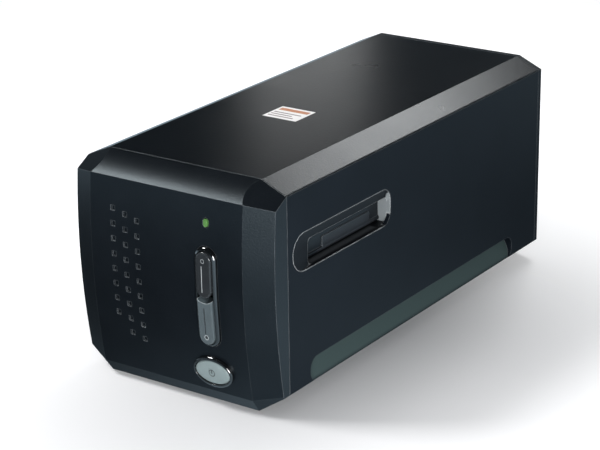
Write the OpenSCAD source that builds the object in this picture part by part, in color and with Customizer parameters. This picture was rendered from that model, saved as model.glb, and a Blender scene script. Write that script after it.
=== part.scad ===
// Desktop film scanner: a long eight-sided housing with a faceted front cap.
// A film holder passes from side to side through two sprung doors, and a
// carriage with lamp, mirror, lens and sensor moves front to back past the film.
// The origin is on the table, midway along the width and the depth; the front faces -Y.

/* [Housing] */
// Width across the sides
body_w = 120; // [110:1:150]
// Depth from the rear panel to the most forward point of the front panel
body_d = 269; // [265:1:330]
// Height of the top face above the table
body_h = 119; // [116:1:145]
// Height of the underside above the table
foot_drop = 1.2; // [0.8:0.1:3]
// Thickness of the moulded shells
wall = 2.2; // [1.8:0.1:2.6]
// Open seam between two shells
seam_gap = 0.3; // [0.2:0.05:0.5]
// Width of each top chamfer, measured across
top_chamfer_w = 14; // [10:0.5:18]
// Height of each top chamfer
top_chamfer_h = 6.2; // [4:0.1:8]
// Width of each bottom chamfer, measured across
bottom_chamfer_w = 14; // [10:0.5:18]
// Height of each bottom chamfer
bottom_chamfer_h = 9.3; // [6:0.1:11]
// Thickness of the rear panel
rear_panel_t = 3; // [2:0.2:4]

/* [Front cap] */
// Depth from the seam to the most forward point of the panel
cap_depth = 17.3; // [15:0.1:22]
// Radius of the panel's bow, seen from the side
bow_r = 352; // [300:2:500]
// Height of the panel's most forward point
bow_peak_z = 74; // [60:1:85]
// How far the side facets fall back from the panel's edge to the sides
facet_back = 6.8; // [5:0.1:8]
// Height of the top facet
top_facet_h = 8.4; // [6:0.1:10]
// Radius of the top facet's bow, seen from the side
top_facet_r = 40; // [30:5:80]
// Height of the bottom facet
bottom_facet_h = 7.1; // [6:0.1:10]
// How far the bottom facet falls back
bottom_facet_back = 5; // [4:0.1:7]
// Width of each square dimple in the panel
dimple_w = 2.6; // [2:0.1:3.2]
// Depth of each dimple
dimple_depth = 1; // [0.6:0.1:1.4]
// Distance between dimples, upwards
dimple_pitch = 7.9; // [7:0.1:8.2]
// Distance between columns of dimples
dimple_column_pitch = 7.45; // [7:0.05:8]
// Centre of the outermost column, left of the middle
dimple_first_x = -31.9; // [-34:0.1:-30]
// Height of the top dimple in the outermost column
dimple_top_z = 94.8; // [92:0.1:96]
// Step down from one column's top dimple to the next
dimple_stagger = 2; // [1:0.1:3]

/* [Keys] */
// Centre of the keys and the light, right of the middle
keys_x = 24.8; // [20:0.1:27]
// Width of the pill-shaped surround
surround_w = 12.6; // [12:0.1:14]
// Heights of the surround's lower and upper end
surround_z = [34.1, 86.1];
// How far the surround stands proud of the panel
surround_proud = 2; // [1:0.1:3]
// How far the surround reaches behind the panel's face
surround_back = 3.2; // [2.8:0.1:3.4]
// Radius along the surround's edge
surround_edge_r = 1.4; // [0.6:0.1:1.5]
// Width of both scan keys
key_w = 8.9; // [8:0.1:9.2]
// Heights of the upper key's ends
upper_key_z = [60.7, 84.2];
// Heights of the lower key's lower end and the corners of its hollow top
lower_key_z = [36, 59.9];
// Radius of the lower key's hollow top
lower_key_hollow_r = 7; // [6:0.5:10]
// How far every key stands proud of the surround's face
key_proud = 1; // [0.5:0.1:1.5]
// Radius along the keys' edges
key_edge_r = 0.8; // [0.3:0.1:1]
// Gap round every key
key_gap = 0.3; // [0.2:0.05:0.4]
// How far every key travels
key_travel = 0.8; // [0.4:0.1:1]
// Thickness of the collar that holds a key in
key_collar_t = 0.8; // [0.6:0.1:1]
// How much wider than its key the collar is, on each side
key_collar_w = 0.9; // [0.7:0.1:1.1]
// Height of the power key's centre
power_z = 20.1; // [19:0.1:21]
// Half width and half height of the power key's ring
power_ring_size = [11.8, 8.3];
// Radius of the ring's rounded ends
power_ring_end_r = 6.2; // [5:0.1:7]
// Half width and half height of the power key
power_key_size = [10.2, 6.1];
// Radius of the power key's rounded ends
power_key_end_r = 3.9; // [3:0.1:4.6]
// How far the ring stands proud of the panel
power_ring_proud = 2.2; // [1.6:0.1:2.6]
// Height of the light's centre
light_z = 98; // [95:0.5:100]
// Width and height of the light
light_size = [2.7, 4];
// Gap round the light
light_gap = 0.4; // [0.1:0.05:0.6]

/* [Film slots] */
// From the most forward point of the panel back to the front end of the recess
slot_from_front = 21.8; // [20:0.1:26]
// Length of the recess
slot_len = 87.3; // [85:0.1:92]
// Height of the recess
slot_h = 19.9; // [18:0.1:22]
// Height of the recess's lower edge
slot_z = 70.8; // [69:0.1:71]
// Radius of the recess's rear corners
slot_rear_r = 7; // [5:0.5:9]
// From the front end of the recess back to the mouth
mouth_from_slot = 15.8; // [12:0.1:18]
// Length of the mouth
mouth_len = 71.2; // [68:0.1:71.3]
// Height of the mouth
mouth_h = 13.6; // [12:0.1:14]
// Height of the mouth's floor
mouth_z = 71.2; // [71:0.1:72]
// Radius of the mouth's corners
mouth_r = 3; // [1:0.5:4]
// Depth of the flare round the mouth
flare_depth = 2.2; // [1.6:0.1:3]
// Depth of the door's face behind the side
door_depth = 7.1; // [6.6:0.1:7.6]
// Depth of the slot frame behind the side
frame_depth = 9.5; // [9.5:0.1:11]
// Thickness of a door
door_t = 1.4; // [1.2:0.1:1.6]
// Gap round a door
door_gap = 0.4; // [0.3:0.05:0.6]
// Radius of a door's hinge barrel
barrel_r = 1.4; // [1.2:0.1:1.6]
// Radius of the hinge pins
pin_r = 0.8; // [0.6:0.05:1]
// Turns of each door's coil spring
spring_turns = 8; // [5:1:10]
// Thickness of the spring's wire
spring_wire = 0.5; // [0.4:0.05:0.6]

/* [Grips] */
// From the most forward point of the panel back to the grip
grip_from_front = 35.6; // [30:0.5:45]
// Length of the grip
grip_len = 203; // [150:1:210]
// Height of the grip above the bottom chamfer
grip_h = 12.6; // [10:0.1:16]
// Depth of the grip under its upper edge
grip_depth = 5.5; // [4:0.1:6.5]

/* [Film carriage] */
// How far the carriage travels
scan_travel = 26; // [20:1:28]
// Radius of the guide rods
rod_r = 3; // [2.5:0.5:3]
// Distance of each guide rod from the middle
rod_x = 38; // [36:0.5:40]
// Height of the guide rods
rod_z = 40; // [38:0.5:42]
// Running clearance of every shaft, on the radius
shaft_gap = 0.05; // [0.02:0.01:0.08]
// Length of the carriage
carriage_len = 162; // [160:1:166]
// Outer width of the carriage trough
carriage_w = 61; // [58:1:62]
// Height of the carriage floor
carriage_z = 34; // [34:0.5:35]
// Height of the trough's walls
carriage_h = 28; // [24:1:30]
// Height of the optical axis
optic_z = 48; // [47:0.5:50]
// Radius of the lens barrel
lens_r = 9; // [7:0.5:10]
// Height of the drive screw
screw_z = 29.3; // [29:0.1:29.6]
// Radius of the drive screw
screw_r = 3; // [2.5:0.1:3]
// Size of one gear tooth, as pitch diameter over teeth
gear_module = 0.8; // [0.7:0.05:0.8]
// Teeth of the gear on the screw
gear_teeth = 30; // [24:2:30]
// Teeth of the pinion on the motor
pinion_teeth = 12; // [10:2:14]
// Radius of the motor
motor_r = 17.5; // [15:0.5:18]
// Length of the motor
motor_len = 15; // [12:1:16]

/* [Hidden] */
$fn = 96;
fine_fn = 720;
eps = 0.01;
hairline = 0.005;
far = 400;

half_w = body_w / 2;
rear_y = (body_d + surround_proud + key_proud) / 2;
front_y = rear_y - body_d;
seam_y = front_y + cap_depth;
shell_front_y = seam_y + seam_gap;
shell_rear_y = rear_y - rear_panel_t - seam_gap;
split_z = body_h - top_chamfer_h;
fit_gap = 0.15;
lip_t = 1.5;
lip_len = 3;
facet_trim = 0.03;
corner_trim = 0.1;

panel_half_w = half_w - top_chamfer_w;
panel_top_z = body_h - top_facet_h;
panel_bottom_z = foot_drop + bottom_facet_h;
bow_cy = front_y + bow_r;

slot_y0 = front_y + max(slot_from_front, cap_depth + lip_len + 1.2);
slot_y1 = slot_y0 + slot_len;
mouth_y0 = slot_y0 + mouth_from_slot;
mouth_y1 = mouth_y0 + mouth_len;
mouth_z1 = mouth_z + mouth_h;
film_y = (mouth_y0 + mouth_y1) / 2;
tube_wall = 1.8;
frame_flange = 3;
guide_end_x = half_w - frame_depth - 0.2;
door_x = half_w - door_depth - door_t / 2;
hinge_z = mouth_z + fit_gap * 2 + barrel_r;

spring_y = 0.4;
spring_pitch = spring_wire;
spring_len = spring_turns * spring_pitch;
spring_r = pin_r + 0.1 + spring_wire;
tang_len = 1.2;
tang_r = 0.4 * spring_wire;
tang_at = spring_r - spring_wire / 2 - 0.02;

board_t = 1.6;
surround_gap = 0.25;
collar_front = -surround_back - 0.5;
key_board_y = seam_y - 3.1;
switch_body = [6, 2.5, 6];
plunger_len = 0.7;
plunger_tip_y = key_board_y - switch_body[1] - plunger_len;
stem_tip_y = plunger_tip_y - key_travel - 0.4;
stem_r = 1.5;
key_post_r = 2.6;
key_post_places = [[-13.4, 38], [13.6, 38], [-13.4, 102], [13.6, 102]];
power_front = power_ring_proud + 0.2;
power_back = 2.9;
power_dome = 0.5;
ring_lift = 0.12;
collar_gap = 0.4;
neck_wall = [0.8, 1];
neck_sides = 16;
neck_gap = 0.15;

chassis_z = 22;
chassis_t = 2.5;
chassis_wall_t = 3;
carriage_y0 = film_y - scan_travel / 2 - 16;
carriage_y1 = carriage_y0 + carriage_len;
chassis_y0 = carriage_y0 - chassis_wall_t - 1.4;
chassis_y1 = carriage_y1 + scan_travel + 1.6;
mirror_y = carriage_y0 + 16;
gear_y = chassis_y1 + chassis_wall_t + 1.5;
gear_t = 6;
gear_mesh = gear_module * (gear_teeth + pinion_teeth) / 2 + 0.1;
motor_plate_y = gear_y + gear_t + 1.5;
motor_plate_t = 2.5;
motor_z = screw_z + gear_mesh;
chassis_end_y = motor_plate_y + motor_plate_t;
bearing_r = 3.4;
chassis_w = 102;
chassis_post_x = 45;
chassis_post_y = [chassis_y0 + 9, chassis_y1 - 8];
chassis_post_r = 4.5;
case_post_x = 42;
case_post_y = [seam_y + 9, shell_rear_y - 9];
case_post_r = 4.5;
case_post_split_z = 58;
case_web_z = 50;
screw_shank_r = 1.5;
screw_hole_r = 1.6;
screw_head_r = 2.8;
screw_head_h = 2;
main_board_z = 8;
main_board_y = [rear_y - rear_panel_t - 108, rear_y - rear_panel_t - 2];
main_board_half_w = 37;
main_post_in = 5;
usb_size = [12, 16, 11];
usb_x = -22;
jack_size = [9, 14, 11];
jack_x = 8;
jack_r = 3.15;
foot_r = 7;
foot_h = 2.7;
foot_places = [[34, front_y + 36], [34, rear_y - 26]];

// ---- Shared forms ----

// Eight-sided section of the housing, with every face moved in by t
function section(t) =
  let (
    tw = top_chamfer_w, th = top_chamfer_h, tl = sqrt(tw * tw + th * th),
    bw = bottom_chamfer_w, bh = bottom_chamfer_h, bl = sqrt(bw * bw + bh * bh),
    xt = half_w - tw - t * (tl - tw) / th,
    zt = body_h - th - t * (tl - th) / tw,
    xb = half_w - bw - t * (bl - bw) / bh,
    zb = foot_drop + bh + t * (bl - bh) / bw
  )
  [[xt, body_h - t], [half_w - t, zt], [half_w - t, zb], [xb, foot_drop + t],
   [-xb, foot_drop + t], [t - half_w, zb], [t - half_w, zt], [-xt, body_h - t]];

// Tilt of the bowed panel at height z
function bow_tilt(z) = asin((z - bow_peak_z) / bow_r);

// Depth of the bowed panel's face at height z
function bow_y(z) = bow_cy - bow_r * cos(bow_tilt(z));

// Block of the housing's section between two depths
module section_prism(t, y0, y1) {
  translate([0, y1, 0])
    rotate([90, 0, 0])
      linear_extrude(y1 - y0)
        polygon(section(t));
}

// Ring of the housing's section: outer face in by t, thickness d
module section_ring(t, d, y0, y1) {
  difference() {
    section_prism(t, y0, y1);
    section_prism(t + d, y0 - 1, y1 + 1);
  }
}

// All that lies on the inner side of a plane through p with outward normal n
module half_space(p, n, t) {
  len_n = norm(n);
  translate(p)
    rotate([0, acos(n[2] / len_n), atan2(n[1], n[0])])
      translate([-far, -far, -2 * far - t])
        cube([2 * far, 2 * far, 2 * far]);
}

// Everything behind the bowed panel, moved in by t
module bow_space(t) {
  translate([-half_w - 5, bow_cy, bow_peak_z])
    rotate([0, 90, 0])
      cylinder(r = bow_r - t, h = body_w + 10, $fn = fine_fn);
}

// Everything behind the right side facet, moved in by t
module facet_space(t) {
  turn = atan2(facet_back, top_chamfer_w);
  facet_r = bow_r / cos(turn);
  translate([panel_half_w, front_y, bow_peak_z])
    rotate([0, 0, turn])
      translate([0, facet_r, 0])
        rotate([0, 90, 0])
          cylinder(r = facet_r - t, h = far, center = true, $fn = fine_fn);
}

// Everything under the bowed top facet, from the panel's top edge to the cover, moved in by t
module top_facet_space(t) {
  front = [bow_y(panel_top_z), panel_top_z];
  back = [seam_y, body_h];
  run = back - front;
  half_chord = norm(run) / 2;
  inward = [run[1], -run[0]] / norm(run);
  centre = (front + back) / 2 + inward * sqrt(pow(top_facet_r, 2) - pow(half_chord, 2));
  translate([0, centre[0], centre[1]])
    rotate([0, 90, 0])
      cylinder(r = top_facet_r - t, h = far, center = true, $fn = fine_fn);
}

// The outside of the front cap, with every face moved in by t
module cap_form(t, back_y) {
  top_front = [panel_half_w, bow_y(panel_top_z), panel_top_z];
  top_back = [panel_half_w, seam_y, body_h];
  side_top = [half_w, seam_y, split_z];
  low_front = [panel_half_w, bow_y(panel_bottom_z), panel_bottom_z];
  low_back = low_front + [0, bottom_facet_back, -bottom_facet_h];
  side_low = [half_w, low_back[1] + 1.7, foot_drop + bottom_chamfer_h];
  top_corner_n = cross(side_top - top_front, top_back - top_front);
  low_corner_n = cross(low_back - low_front, side_low - low_front);
  intersection() {
    section_prism(t, front_y - 1, back_y);
    bow_space(t);
    facet_space(t);
    mirror([1, 0, 0])
      facet_space(t);
    union() {
      top_facet_space(t + facet_trim);
      block([-far, front_y - 1, -far], [far, back_y + 1, panel_top_z - top_facet_r / 2]);
    }
    half_space(low_front, [0, -bottom_facet_h, -bottom_facet_back], t);
    half_space(top_front, top_corner_n, t + corner_trim);
    mirror([1, 0, 0])
      half_space(top_front, top_corner_n, t + corner_trim);
    half_space(low_front, low_corner_n, t + corner_trim);
    mirror([1, 0, 0])
      half_space(low_front, low_corner_n, t + corner_trim);
  }
}

// Places children on the panel's face at height z, with their +Z pointing out of the panel
module on_panel(x, z) {
  translate([x, bow_cy, bow_peak_z])
    rotate([90 - bow_tilt(z), 0, 0])
      translate([0, 0, bow_r])
        children();
}

// Section swept along the panel's bow from height z0 to z1; its +X points out of the panel
module bow_sweep(z0, z1) {
  translate([keys_x, bow_cy, bow_peak_z])
    rotate([90 - bow_tilt(z0), 0, 0])
      rotate([0, -90, 0])
        rotate_extrude(angle = bow_tilt(z1) - bow_tilt(z0), $fn = fine_fn)
          translate([bow_r, 0])
            children();
}

// Half of a bead's cross-section, with a rounded front edge: X across, Y from back to front
module half_bead_section(w, back, front, edge) {
  translate([0, back])
    square([w / 2, front - edge - back]);
  translate([0, back])
    square([w / 2 - edge, front - back]);
  translate([w / 2 - edge, front - edge])
    circle(r = edge);
}

// Straight bead along Y from y0 to y1, w wide, from back to front along Z
module bead_bar(w, y0, y1, back, front, edge) {
  translate([0, y1, 0])
    rotate([90, 0, 0])
      linear_extrude(y1 - y0) {
        half_bead_section(w, back, front, edge);
        mirror([1, 0])
          half_bead_section(w, back, front, edge);
      }
}

// Half-round end of such a bead, centred at y and pointing to +Y or, turned by 180, to -Y
module bead_end(w, y, turn, back, front, edge) {
  translate([0, y, 0])
    rotate([0, 0, turn])
      rotate_extrude(angle = 180)
        half_bead_section(w, back, front, edge);
}

// Oval made of four arcs: half sizes a and b, end radius r
module oval(a, b, r) {
  reach = a - r;
  rise = b - r;
  drop = (reach * reach - rise * rise) / (2 * rise);
  side_r = drop + b;
  for (side = [-1, 1])
    translate([side * reach, 0])
      circle(r = r);
  intersection() {
    translate([0, -drop])
      circle(r = side_r);
    translate([0, drop])
      circle(r = side_r);
    square([2 * (reach + r * reach / (side_r - r)), 2 * b + 1], center = true);
  }
}

// Upright outline with round ends, w wide and h high
module stadium(w, h) {
  square([w, h - w], center = true);
  for (side = [-1, 1])
    translate([0, side * (h - w) / 2])
      circle(r = w / 2);
}

// Rectangle with rounded corners between two points
module round_rect(p0, p1, r) {
  translate(p0 + [r, 0])
    square([p1[0] - p0[0] - 2 * r, p1[1] - p0[1]]);
  translate(p0 + [0, r])
    square([p1[0] - p0[0], p1[1] - p0[1] - 2 * r]);
  for (x = [p0[0] + r, p1[0] - r], y = [p0[1] + r, p1[1] - r])
    translate([x, y])
      circle(r = r);
}

// Turns a drawing in (Y, Z) into a block from x0 to x1
module along_x(x0, x1) {
  translate([x0, 0, 0])
    rotate([90, 0, 90])
      linear_extrude(x1 - x0)
        children();
}

// Cylinder along Y
module rod_y(x, z, y0, y1, r) {
  translate([x, y1, z])
    rotate([90, 0, 0])
      cylinder(r = r, h = y1 - y0);
}

// Upright cylinder
module post(x, y, z0, z1, r) {
  translate([x, y, z0])
    cylinder(r = r, h = z1 - z0);
}

// Block between two corners
module block(p0, p1) {
  translate(p0)
    cube(p1 - p0);
}

// Both halves of something that is drawn on the right
module both_sides() {
  children();
  mirror([1, 0, 0])
    children();
}

// Outline of the slot's recess: round at the front, squarer at the rear
module slot_outline(grow) {
  front_r = slot_h / 2 + grow;
  rear_r = slot_rear_r + grow;
  translate([slot_y0 + slot_h / 2, slot_z + slot_h / 2])
    circle(r = front_r);
  translate([slot_y0 + slot_h / 2, slot_z - grow])
    square([slot_len - slot_h / 2 - slot_rear_r, slot_h + 2 * grow]);
  translate([slot_y1 - 2 * slot_rear_r, slot_z + slot_rear_r])
    square([2 * slot_rear_r + grow, slot_h - 2 * slot_rear_r]);
  for (z = [slot_z + slot_rear_r, slot_z + slot_h - slot_rear_r])
    translate([slot_y1 - slot_rear_r, z])
      circle(r = rear_r);
}

// Pan-head screw pointing up, head's bearing face at the origin
module screw_up(shank_len) {
  translate([0, 0, -screw_head_h])
    difference() {
      cylinder(r = screw_head_r, h = screw_head_h);
      for (turn = [0, 90])
        rotate([0, 0, turn])
          translate([-1.7, -0.35, -eps])
            cube([3.4, 0.7, 1]);
    }
  cylinder(r = screw_shank_r, h = shank_len);
}

// ---- Housing ----

// Scoop along the bottom of the right side, deepest under its upper edge
module grip_profile(grow) {
  top = foot_drop + bottom_chamfer_h + grip_h;
  low = foot_drop + bottom_chamfer_h - 1.2;
  polygon([
    [half_w + 2, top + grow],
    [half_w - grip_depth - grow, top - 0.8 + grow],
    [half_w - grip_depth - grow, top - 2.4],
    [half_w - 0.4 - grow, low - grow],
    [half_w + 2, low - grow]
  ]);
}

module grip_cut(grow) {
  y0 = front_y + grip_from_front - grow;
  y1 = y0 + grip_len + 2 * grow;
  top = foot_drop + bottom_chamfer_h + grip_h + grow;
  low = foot_drop + bottom_chamfer_h - 1.2 - grow;
  intersection() {
    translate([0, y1, 0])
      rotate([90, 0, 0])
        linear_extrude(y1 - y0)
          grip_profile(grow);
    along_x(half_w - 12, half_w + 2)
      round_rect([y0, low], [y1, top], (top - low) / 2 - 0.5);
  }
}

module base_shell() {
  color([0.1, 0.11, 0.13])
    difference() {
      union() {
        intersection() {
          section_ring(0, wall, shell_front_y, shell_rear_y);
          block([-half_w, shell_front_y, 0], [half_w, shell_rear_y, split_z - seam_gap / 2]);
        }
        intersection() {
          section_prism(0, shell_front_y, shell_rear_y);
          both_sides()
            grip_cut(wall);
        }
        intersection() {
          section_prism(wall / 2, shell_front_y, shell_rear_y);
          both_sides() {
            for (y = chassis_post_y)
              post(chassis_post_x, y, 0, chassis_z, chassis_post_r);
            for (y = case_post_y)
              post(case_post_x, y, 0, case_post_split_z - seam_gap, case_post_r);
            for (y = [main_board_y[0] + main_post_in, main_board_y[1] - main_post_in])
              post(main_board_half_w - main_post_in, y, 0, main_board_z, 3);
            for (p = foot_places)
              post(p[0], p[1], 0, foot_drop + wall + 1, foot_r + 1.5);
          }
        }
      }
      both_sides() {
        block([half_w - wall - 6, shell_front_y - 1, split_z - 6],
              [half_w - wall, shell_rear_y + 1, split_z]);
        grip_cut(0);
        along_x(half_w - 2 * wall, half_w + 1)
          slot_outline(fit_gap);
        for (y = chassis_post_y)
          post(chassis_post_x, y, chassis_z - 9, chassis_z + 1, screw_hole_r);
        for (y = case_post_y) {
          post(case_post_x, y, 0, case_web_z, screw_head_r + 0.4);
          post(case_post_x, y, 0, case_post_split_z, screw_hole_r);
        }
        for (y = [main_board_y[0] + main_post_in, main_board_y[1] - main_post_in])
          post(main_board_half_w - main_post_in, y, main_board_z - 4, main_board_z + 1, screw_hole_r);
        for (p = foot_places)
          post(p[0], p[1], 0, foot_h, foot_r + fit_gap);
      }
    }
}

module top_cover() {
  skirt_x = half_w - wall - fit_gap;
  color([0.13, 0.14, 0.16])
    difference() {
      union() {
        intersection() {
          section_ring(0, wall, shell_front_y, shell_rear_y);
          block([-half_w, shell_front_y, split_z + seam_gap / 2], [half_w, shell_rear_y, body_h]);
        }
        both_sides() {
          block([skirt_x - 1.4, seam_y + 2 * lip_len, split_z - 4],
                [skirt_x, shell_rear_y - 2 * lip_len, split_z + 1]);
          for (y = case_post_y)
            post(case_post_x, y, case_post_split_z, body_h - wall / 2, case_post_r);
        }
        for (y = [seam_y + 40, film_y + 75, film_y + 125])
          block([-panel_half_w + 2, y, body_h - wall - 4], [panel_half_w - 2, y + 1.2, body_h - 1]);
      }
      both_sides()
        for (y = case_post_y)
          post(case_post_x, y, case_post_split_z - 1, case_post_split_z + 16, screw_hole_r);
    }
}

module front_bezel() {
  color([0.09, 0.1, 0.12])
    difference() {
      union() {
        difference() {
          cap_form(0, seam_y);
          cap_form(wall, seam_y + 1);
        }
        section_ring(wall - 0.1, lip_t + fit_gap + 0.1, seam_y - lip_len, seam_y);
        section_ring(wall + fit_gap, lip_t, seam_y - 0.1, seam_y + lip_len);
        intersection() {
          for (p = key_post_places)
            rod_y(keys_x + p[0], p[1], front_y, key_board_y, key_post_r);
          bow_space(wall / 2);
        }
      }
      on_panel(keys_x, (surround_z[0] + surround_z[1]) / 2)
        translate([0, 0, -6])
          linear_extrude(9)
            stadium(surround_w + 2 * surround_gap, surround_z[1] - surround_z[0] + 2 * surround_gap);
      on_panel(keys_x, power_z)
        translate([0, 0, -6])
          linear_extrude(9)
            ring_neck(neck_gap);
      on_panel(keys_x, light_z)
        translate([0, 0, -6])
          linear_extrude(9)
            stadium(light_size[0] + 2 * light_gap, light_size[1] + 2 * light_gap);
      for (column = [0:2], row = [0:8])
        if (column > 0 || row < 8)
          on_panel(dimple_first_x + column * dimple_column_pitch,
                   dimple_top_z - column * dimple_stagger - row * dimple_pitch)
            translate([0, 0, -dimple_depth])
              translate([-dimple_w / 2, -dimple_w / 2, 0])
                cube([dimple_w, dimple_w, 3]);
      for (p = key_post_places)
        rod_y(keys_x + p[0], p[1], key_board_y - 6, key_board_y + 1, 1.1);
    }
}

module rear_panel() {
  socket_gap = 0.3;
  socket_z = main_board_z + board_t;
  color([0.09, 0.1, 0.12])
    difference() {
      union() {
        section_prism(0, rear_y - rear_panel_t, rear_y);
        section_ring(wall + fit_gap, lip_t, shell_rear_y - lip_len, rear_y - rear_panel_t + 0.1);
      }
      block([usb_x - usb_size[0] / 2 - socket_gap, rear_y - 9, socket_z - socket_gap],
            [usb_x + usb_size[0] / 2 + socket_gap, rear_y + 1, socket_z + usb_size[2] + socket_gap]);
      block([jack_x - jack_size[0] / 2 - socket_gap, rear_y - 9, socket_z - socket_gap],
            [jack_x + jack_size[0] / 2 + socket_gap, rear_y + 1, socket_z + jack_size[2] + socket_gap]);
    }
}

// Frame behind the right side: flared recess, mouth and the hinge walls of the door
module slot_frame() {
  front_r = slot_h / 2;
  flange_x = half_w - wall - 0.2;
  back_x = half_w - frame_depth;
  difference() {
    union() {
      along_x(flange_x - 1, half_w)
        slot_outline(0);
      along_x(flange_x - 2, flange_x)
        round_rect([seam_y + lip_len + 0.3, slot_z - frame_flange],
                   [slot_y1 + frame_flange, slot_z + slot_h + frame_flange], 3);
      along_x(back_x, flange_x - 1)
        round_rect([mouth_y0 - tube_wall, mouth_z - tube_wall],
                   [mouth_y1 + tube_wall, mouth_z1 + tube_wall], 2);
    }
    hull() {
      for (p = [[slot_y0 + front_r, slot_z + front_r, front_r - 0.3],
                [slot_y1 - slot_rear_r, slot_z + slot_rear_r, slot_rear_r - 0.3],
                [slot_y1 - slot_rear_r, slot_z + slot_h - slot_rear_r, slot_rear_r - 0.3]])
        along_x(half_w, half_w + 1)
          translate([p[0], p[1]])
            circle(r = p[2], $fn = 48);
      for (y = [mouth_y0 + mouth_r, mouth_y1 - mouth_r], z = [mouth_z + mouth_r, mouth_z1 - mouth_r])
        along_x(half_w - flare_depth, half_w - flare_depth + 0.1)
          translate([y, z])
            circle(r = mouth_r, $fn = 24);
    }
    along_x(back_x - 1, half_w - flare_depth + eps)
      round_rect([mouth_y0, mouth_z], [mouth_y1, mouth_z1], 0.8);
    rod_y(door_x, hinge_z, mouth_y0 - tube_wall - 1, mouth_y1 + tube_wall + 1, pin_r + 0.02);
    rod_y(door_x, hinge_z + tang_at, mouth_y0 - tang_len - 0.1, mouth_y0 + 0.1, tang_r + 0.05);
  }
}

module slot_frame_right() {
  color([0.08, 0.09, 0.1])
    slot_frame();
}

module slot_frame_left() {
  color([0.08, 0.09, 0.1])
    mirror([1, 0, 0])
      slot_frame();
}

// Door of the right slot, hinged along its lower edge
module dust_door() {
  y0 = mouth_y0 + door_gap + 0.2;
  y1 = mouth_y1 - door_gap - 0.2;
  top = mouth_z1 - door_gap;
  pad_y0 = mouth_y0 + 19;
  difference() {
    union() {
      along_x(door_x - door_t / 2, door_x + door_t / 2)
        round_rect([y0, hinge_z], [y1, top], 0.5);
      rod_y(door_x, hinge_z, y0, y1, barrel_r);
      along_x(door_x, door_x + door_t / 2 + 0.6)
        round_rect([pad_y0, hinge_z], [y1 - 9, top - 5.2], 1);
    }
    rod_y(door_x, hinge_z, y0 - 1, y1 + 1, pin_r + shaft_gap);
    rod_y(door_x, hinge_z, y0 - 1, mouth_y0 + spring_y + spring_len + 0.3, spring_r + 0.3);
  }
}

module dust_door_right() {
  color([0.1, 0.1, 0.11])
    dust_door();
}

module dust_door_left() {
  color([0.1, 0.1, 0.11])
    mirror([1, 0, 0])
      dust_door();
}

module hinge_pins() {
  color([0.7, 0.7, 0.72])
    both_sides()
      rod_y(door_x, hinge_z, mouth_y0 - tube_wall, mouth_y1 + tube_wall, pin_r);
}

// Section of the close-wound coil: a plain bore, and a ridge for each turn of wire
function spring_section() = concat(
  [[spring_r - spring_wire, 0]],
  [for (turn = [0 : spring_turns - 1], corner = [[0, 0.15], [0.25, 0], [0.75, 0], [1, 0.15]])
    if (corner[0] > 0 || turn == 0)
      [spring_r - corner[1], (turn + corner[0]) * spring_pitch]],
  [[spring_r - spring_wire, spring_turns * spring_pitch]]);

// Close-wound coil round the front end of each pin, with a tang in the frame's end wall
module door_springs() {
  color([0.7, 0.7, 0.72])
    both_sides()
      translate([door_x, mouth_y0 + spring_y, hinge_z])
        rotate([-90, 0, 0]) {
          rotate_extrude($fn = 48)
            polygon(spring_section());
          translate([0, -tang_at, -spring_y - tang_len])
            cylinder(r = tang_r, h = spring_y + tang_len + spring_pitch / 2);
        }
}

// ---- Keys and light ----

// Section of one rail of the surround, from the hole's side out to the rounded edge
module surround_section() {
  inner = key_w / 2 + key_gap;
  outer = surround_w / 2;
  translate([-surround_back, inner])
    square([surround_back + surround_proud - surround_edge_r, outer - inner]);
  translate([-surround_back, inner])
    square([surround_back + surround_proud, outer - inner - surround_edge_r]);
  intersection() {
    translate([surround_proud - surround_edge_r, outer - surround_edge_r])
      circle(r = surround_edge_r);
    translate([0, inner])
      square([surround_proud, outer - inner]);
  }
}

module key_surround() {
  end_r = surround_w / 2;
  z0 = surround_z[0] + end_r;
  z1 = surround_z[1] - end_r;
  lug = [0.8, 2, 2.6];
  lug_x = key_w / 2 + key_gap + 0.75;
  color([0.02, 0.02, 0.025]) {
    bow_sweep(z0, z1 - hairline) {
      surround_section();
      mirror([0, 1])
        surround_section();
    }
    for (end = [[z0, 180], [z1, 0]])
      on_panel(keys_x, end[0])
        rotate([0, 0, end[1]])
          rotate_extrude(angle = 180)
            mirror([1, 0])
              rotate(90)
                surround_section();
    // Lugs that tie the rails to the upper end
    on_panel(keys_x, z1)
      for (side = [-1, 1])
        translate([side * lug_x, 0, -1])
          cube(lug, center = true);
  }
}

// Flat plate behind a key, wider than the key, that keeps it in; drawn in the key's own plane
module key_collar(y0, y1) {
  translate([0, (y0 + y1) / 2, collar_front - key_collar_t])
    linear_extrude(key_collar_t)
      stadium(key_w + 2 * key_collar_w, y1 - y0);
}

module key_stem(z) {
  rod_y(keys_x, z, bow_y(z) + surround_back + 0.5, stem_tip_y, stem_r);
}

module scan_key_upper() {
  mid_z = (upper_key_z[0] + upper_key_z[1]) / 2;
  half_len = (upper_key_z[1] - upper_key_z[0]) / 2;
  end_y = half_len - key_w / 2;
  face = surround_proud + key_proud;
  color([0.03, 0.03, 0.035]) {
    on_panel(keys_x, mid_z) {
      bead_bar(key_w, -end_y, end_y, collar_front - 0.2, face, key_edge_r);
      bead_end(key_w, end_y, 0, collar_front - 0.2, face, key_edge_r);
      bead_end(key_w, -end_y, 180, collar_front - 0.2, face, key_edge_r);
      key_collar(1.6 - half_len, half_len + key_collar_w);
    }
    key_stem(mid_z);
  }
}

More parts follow.
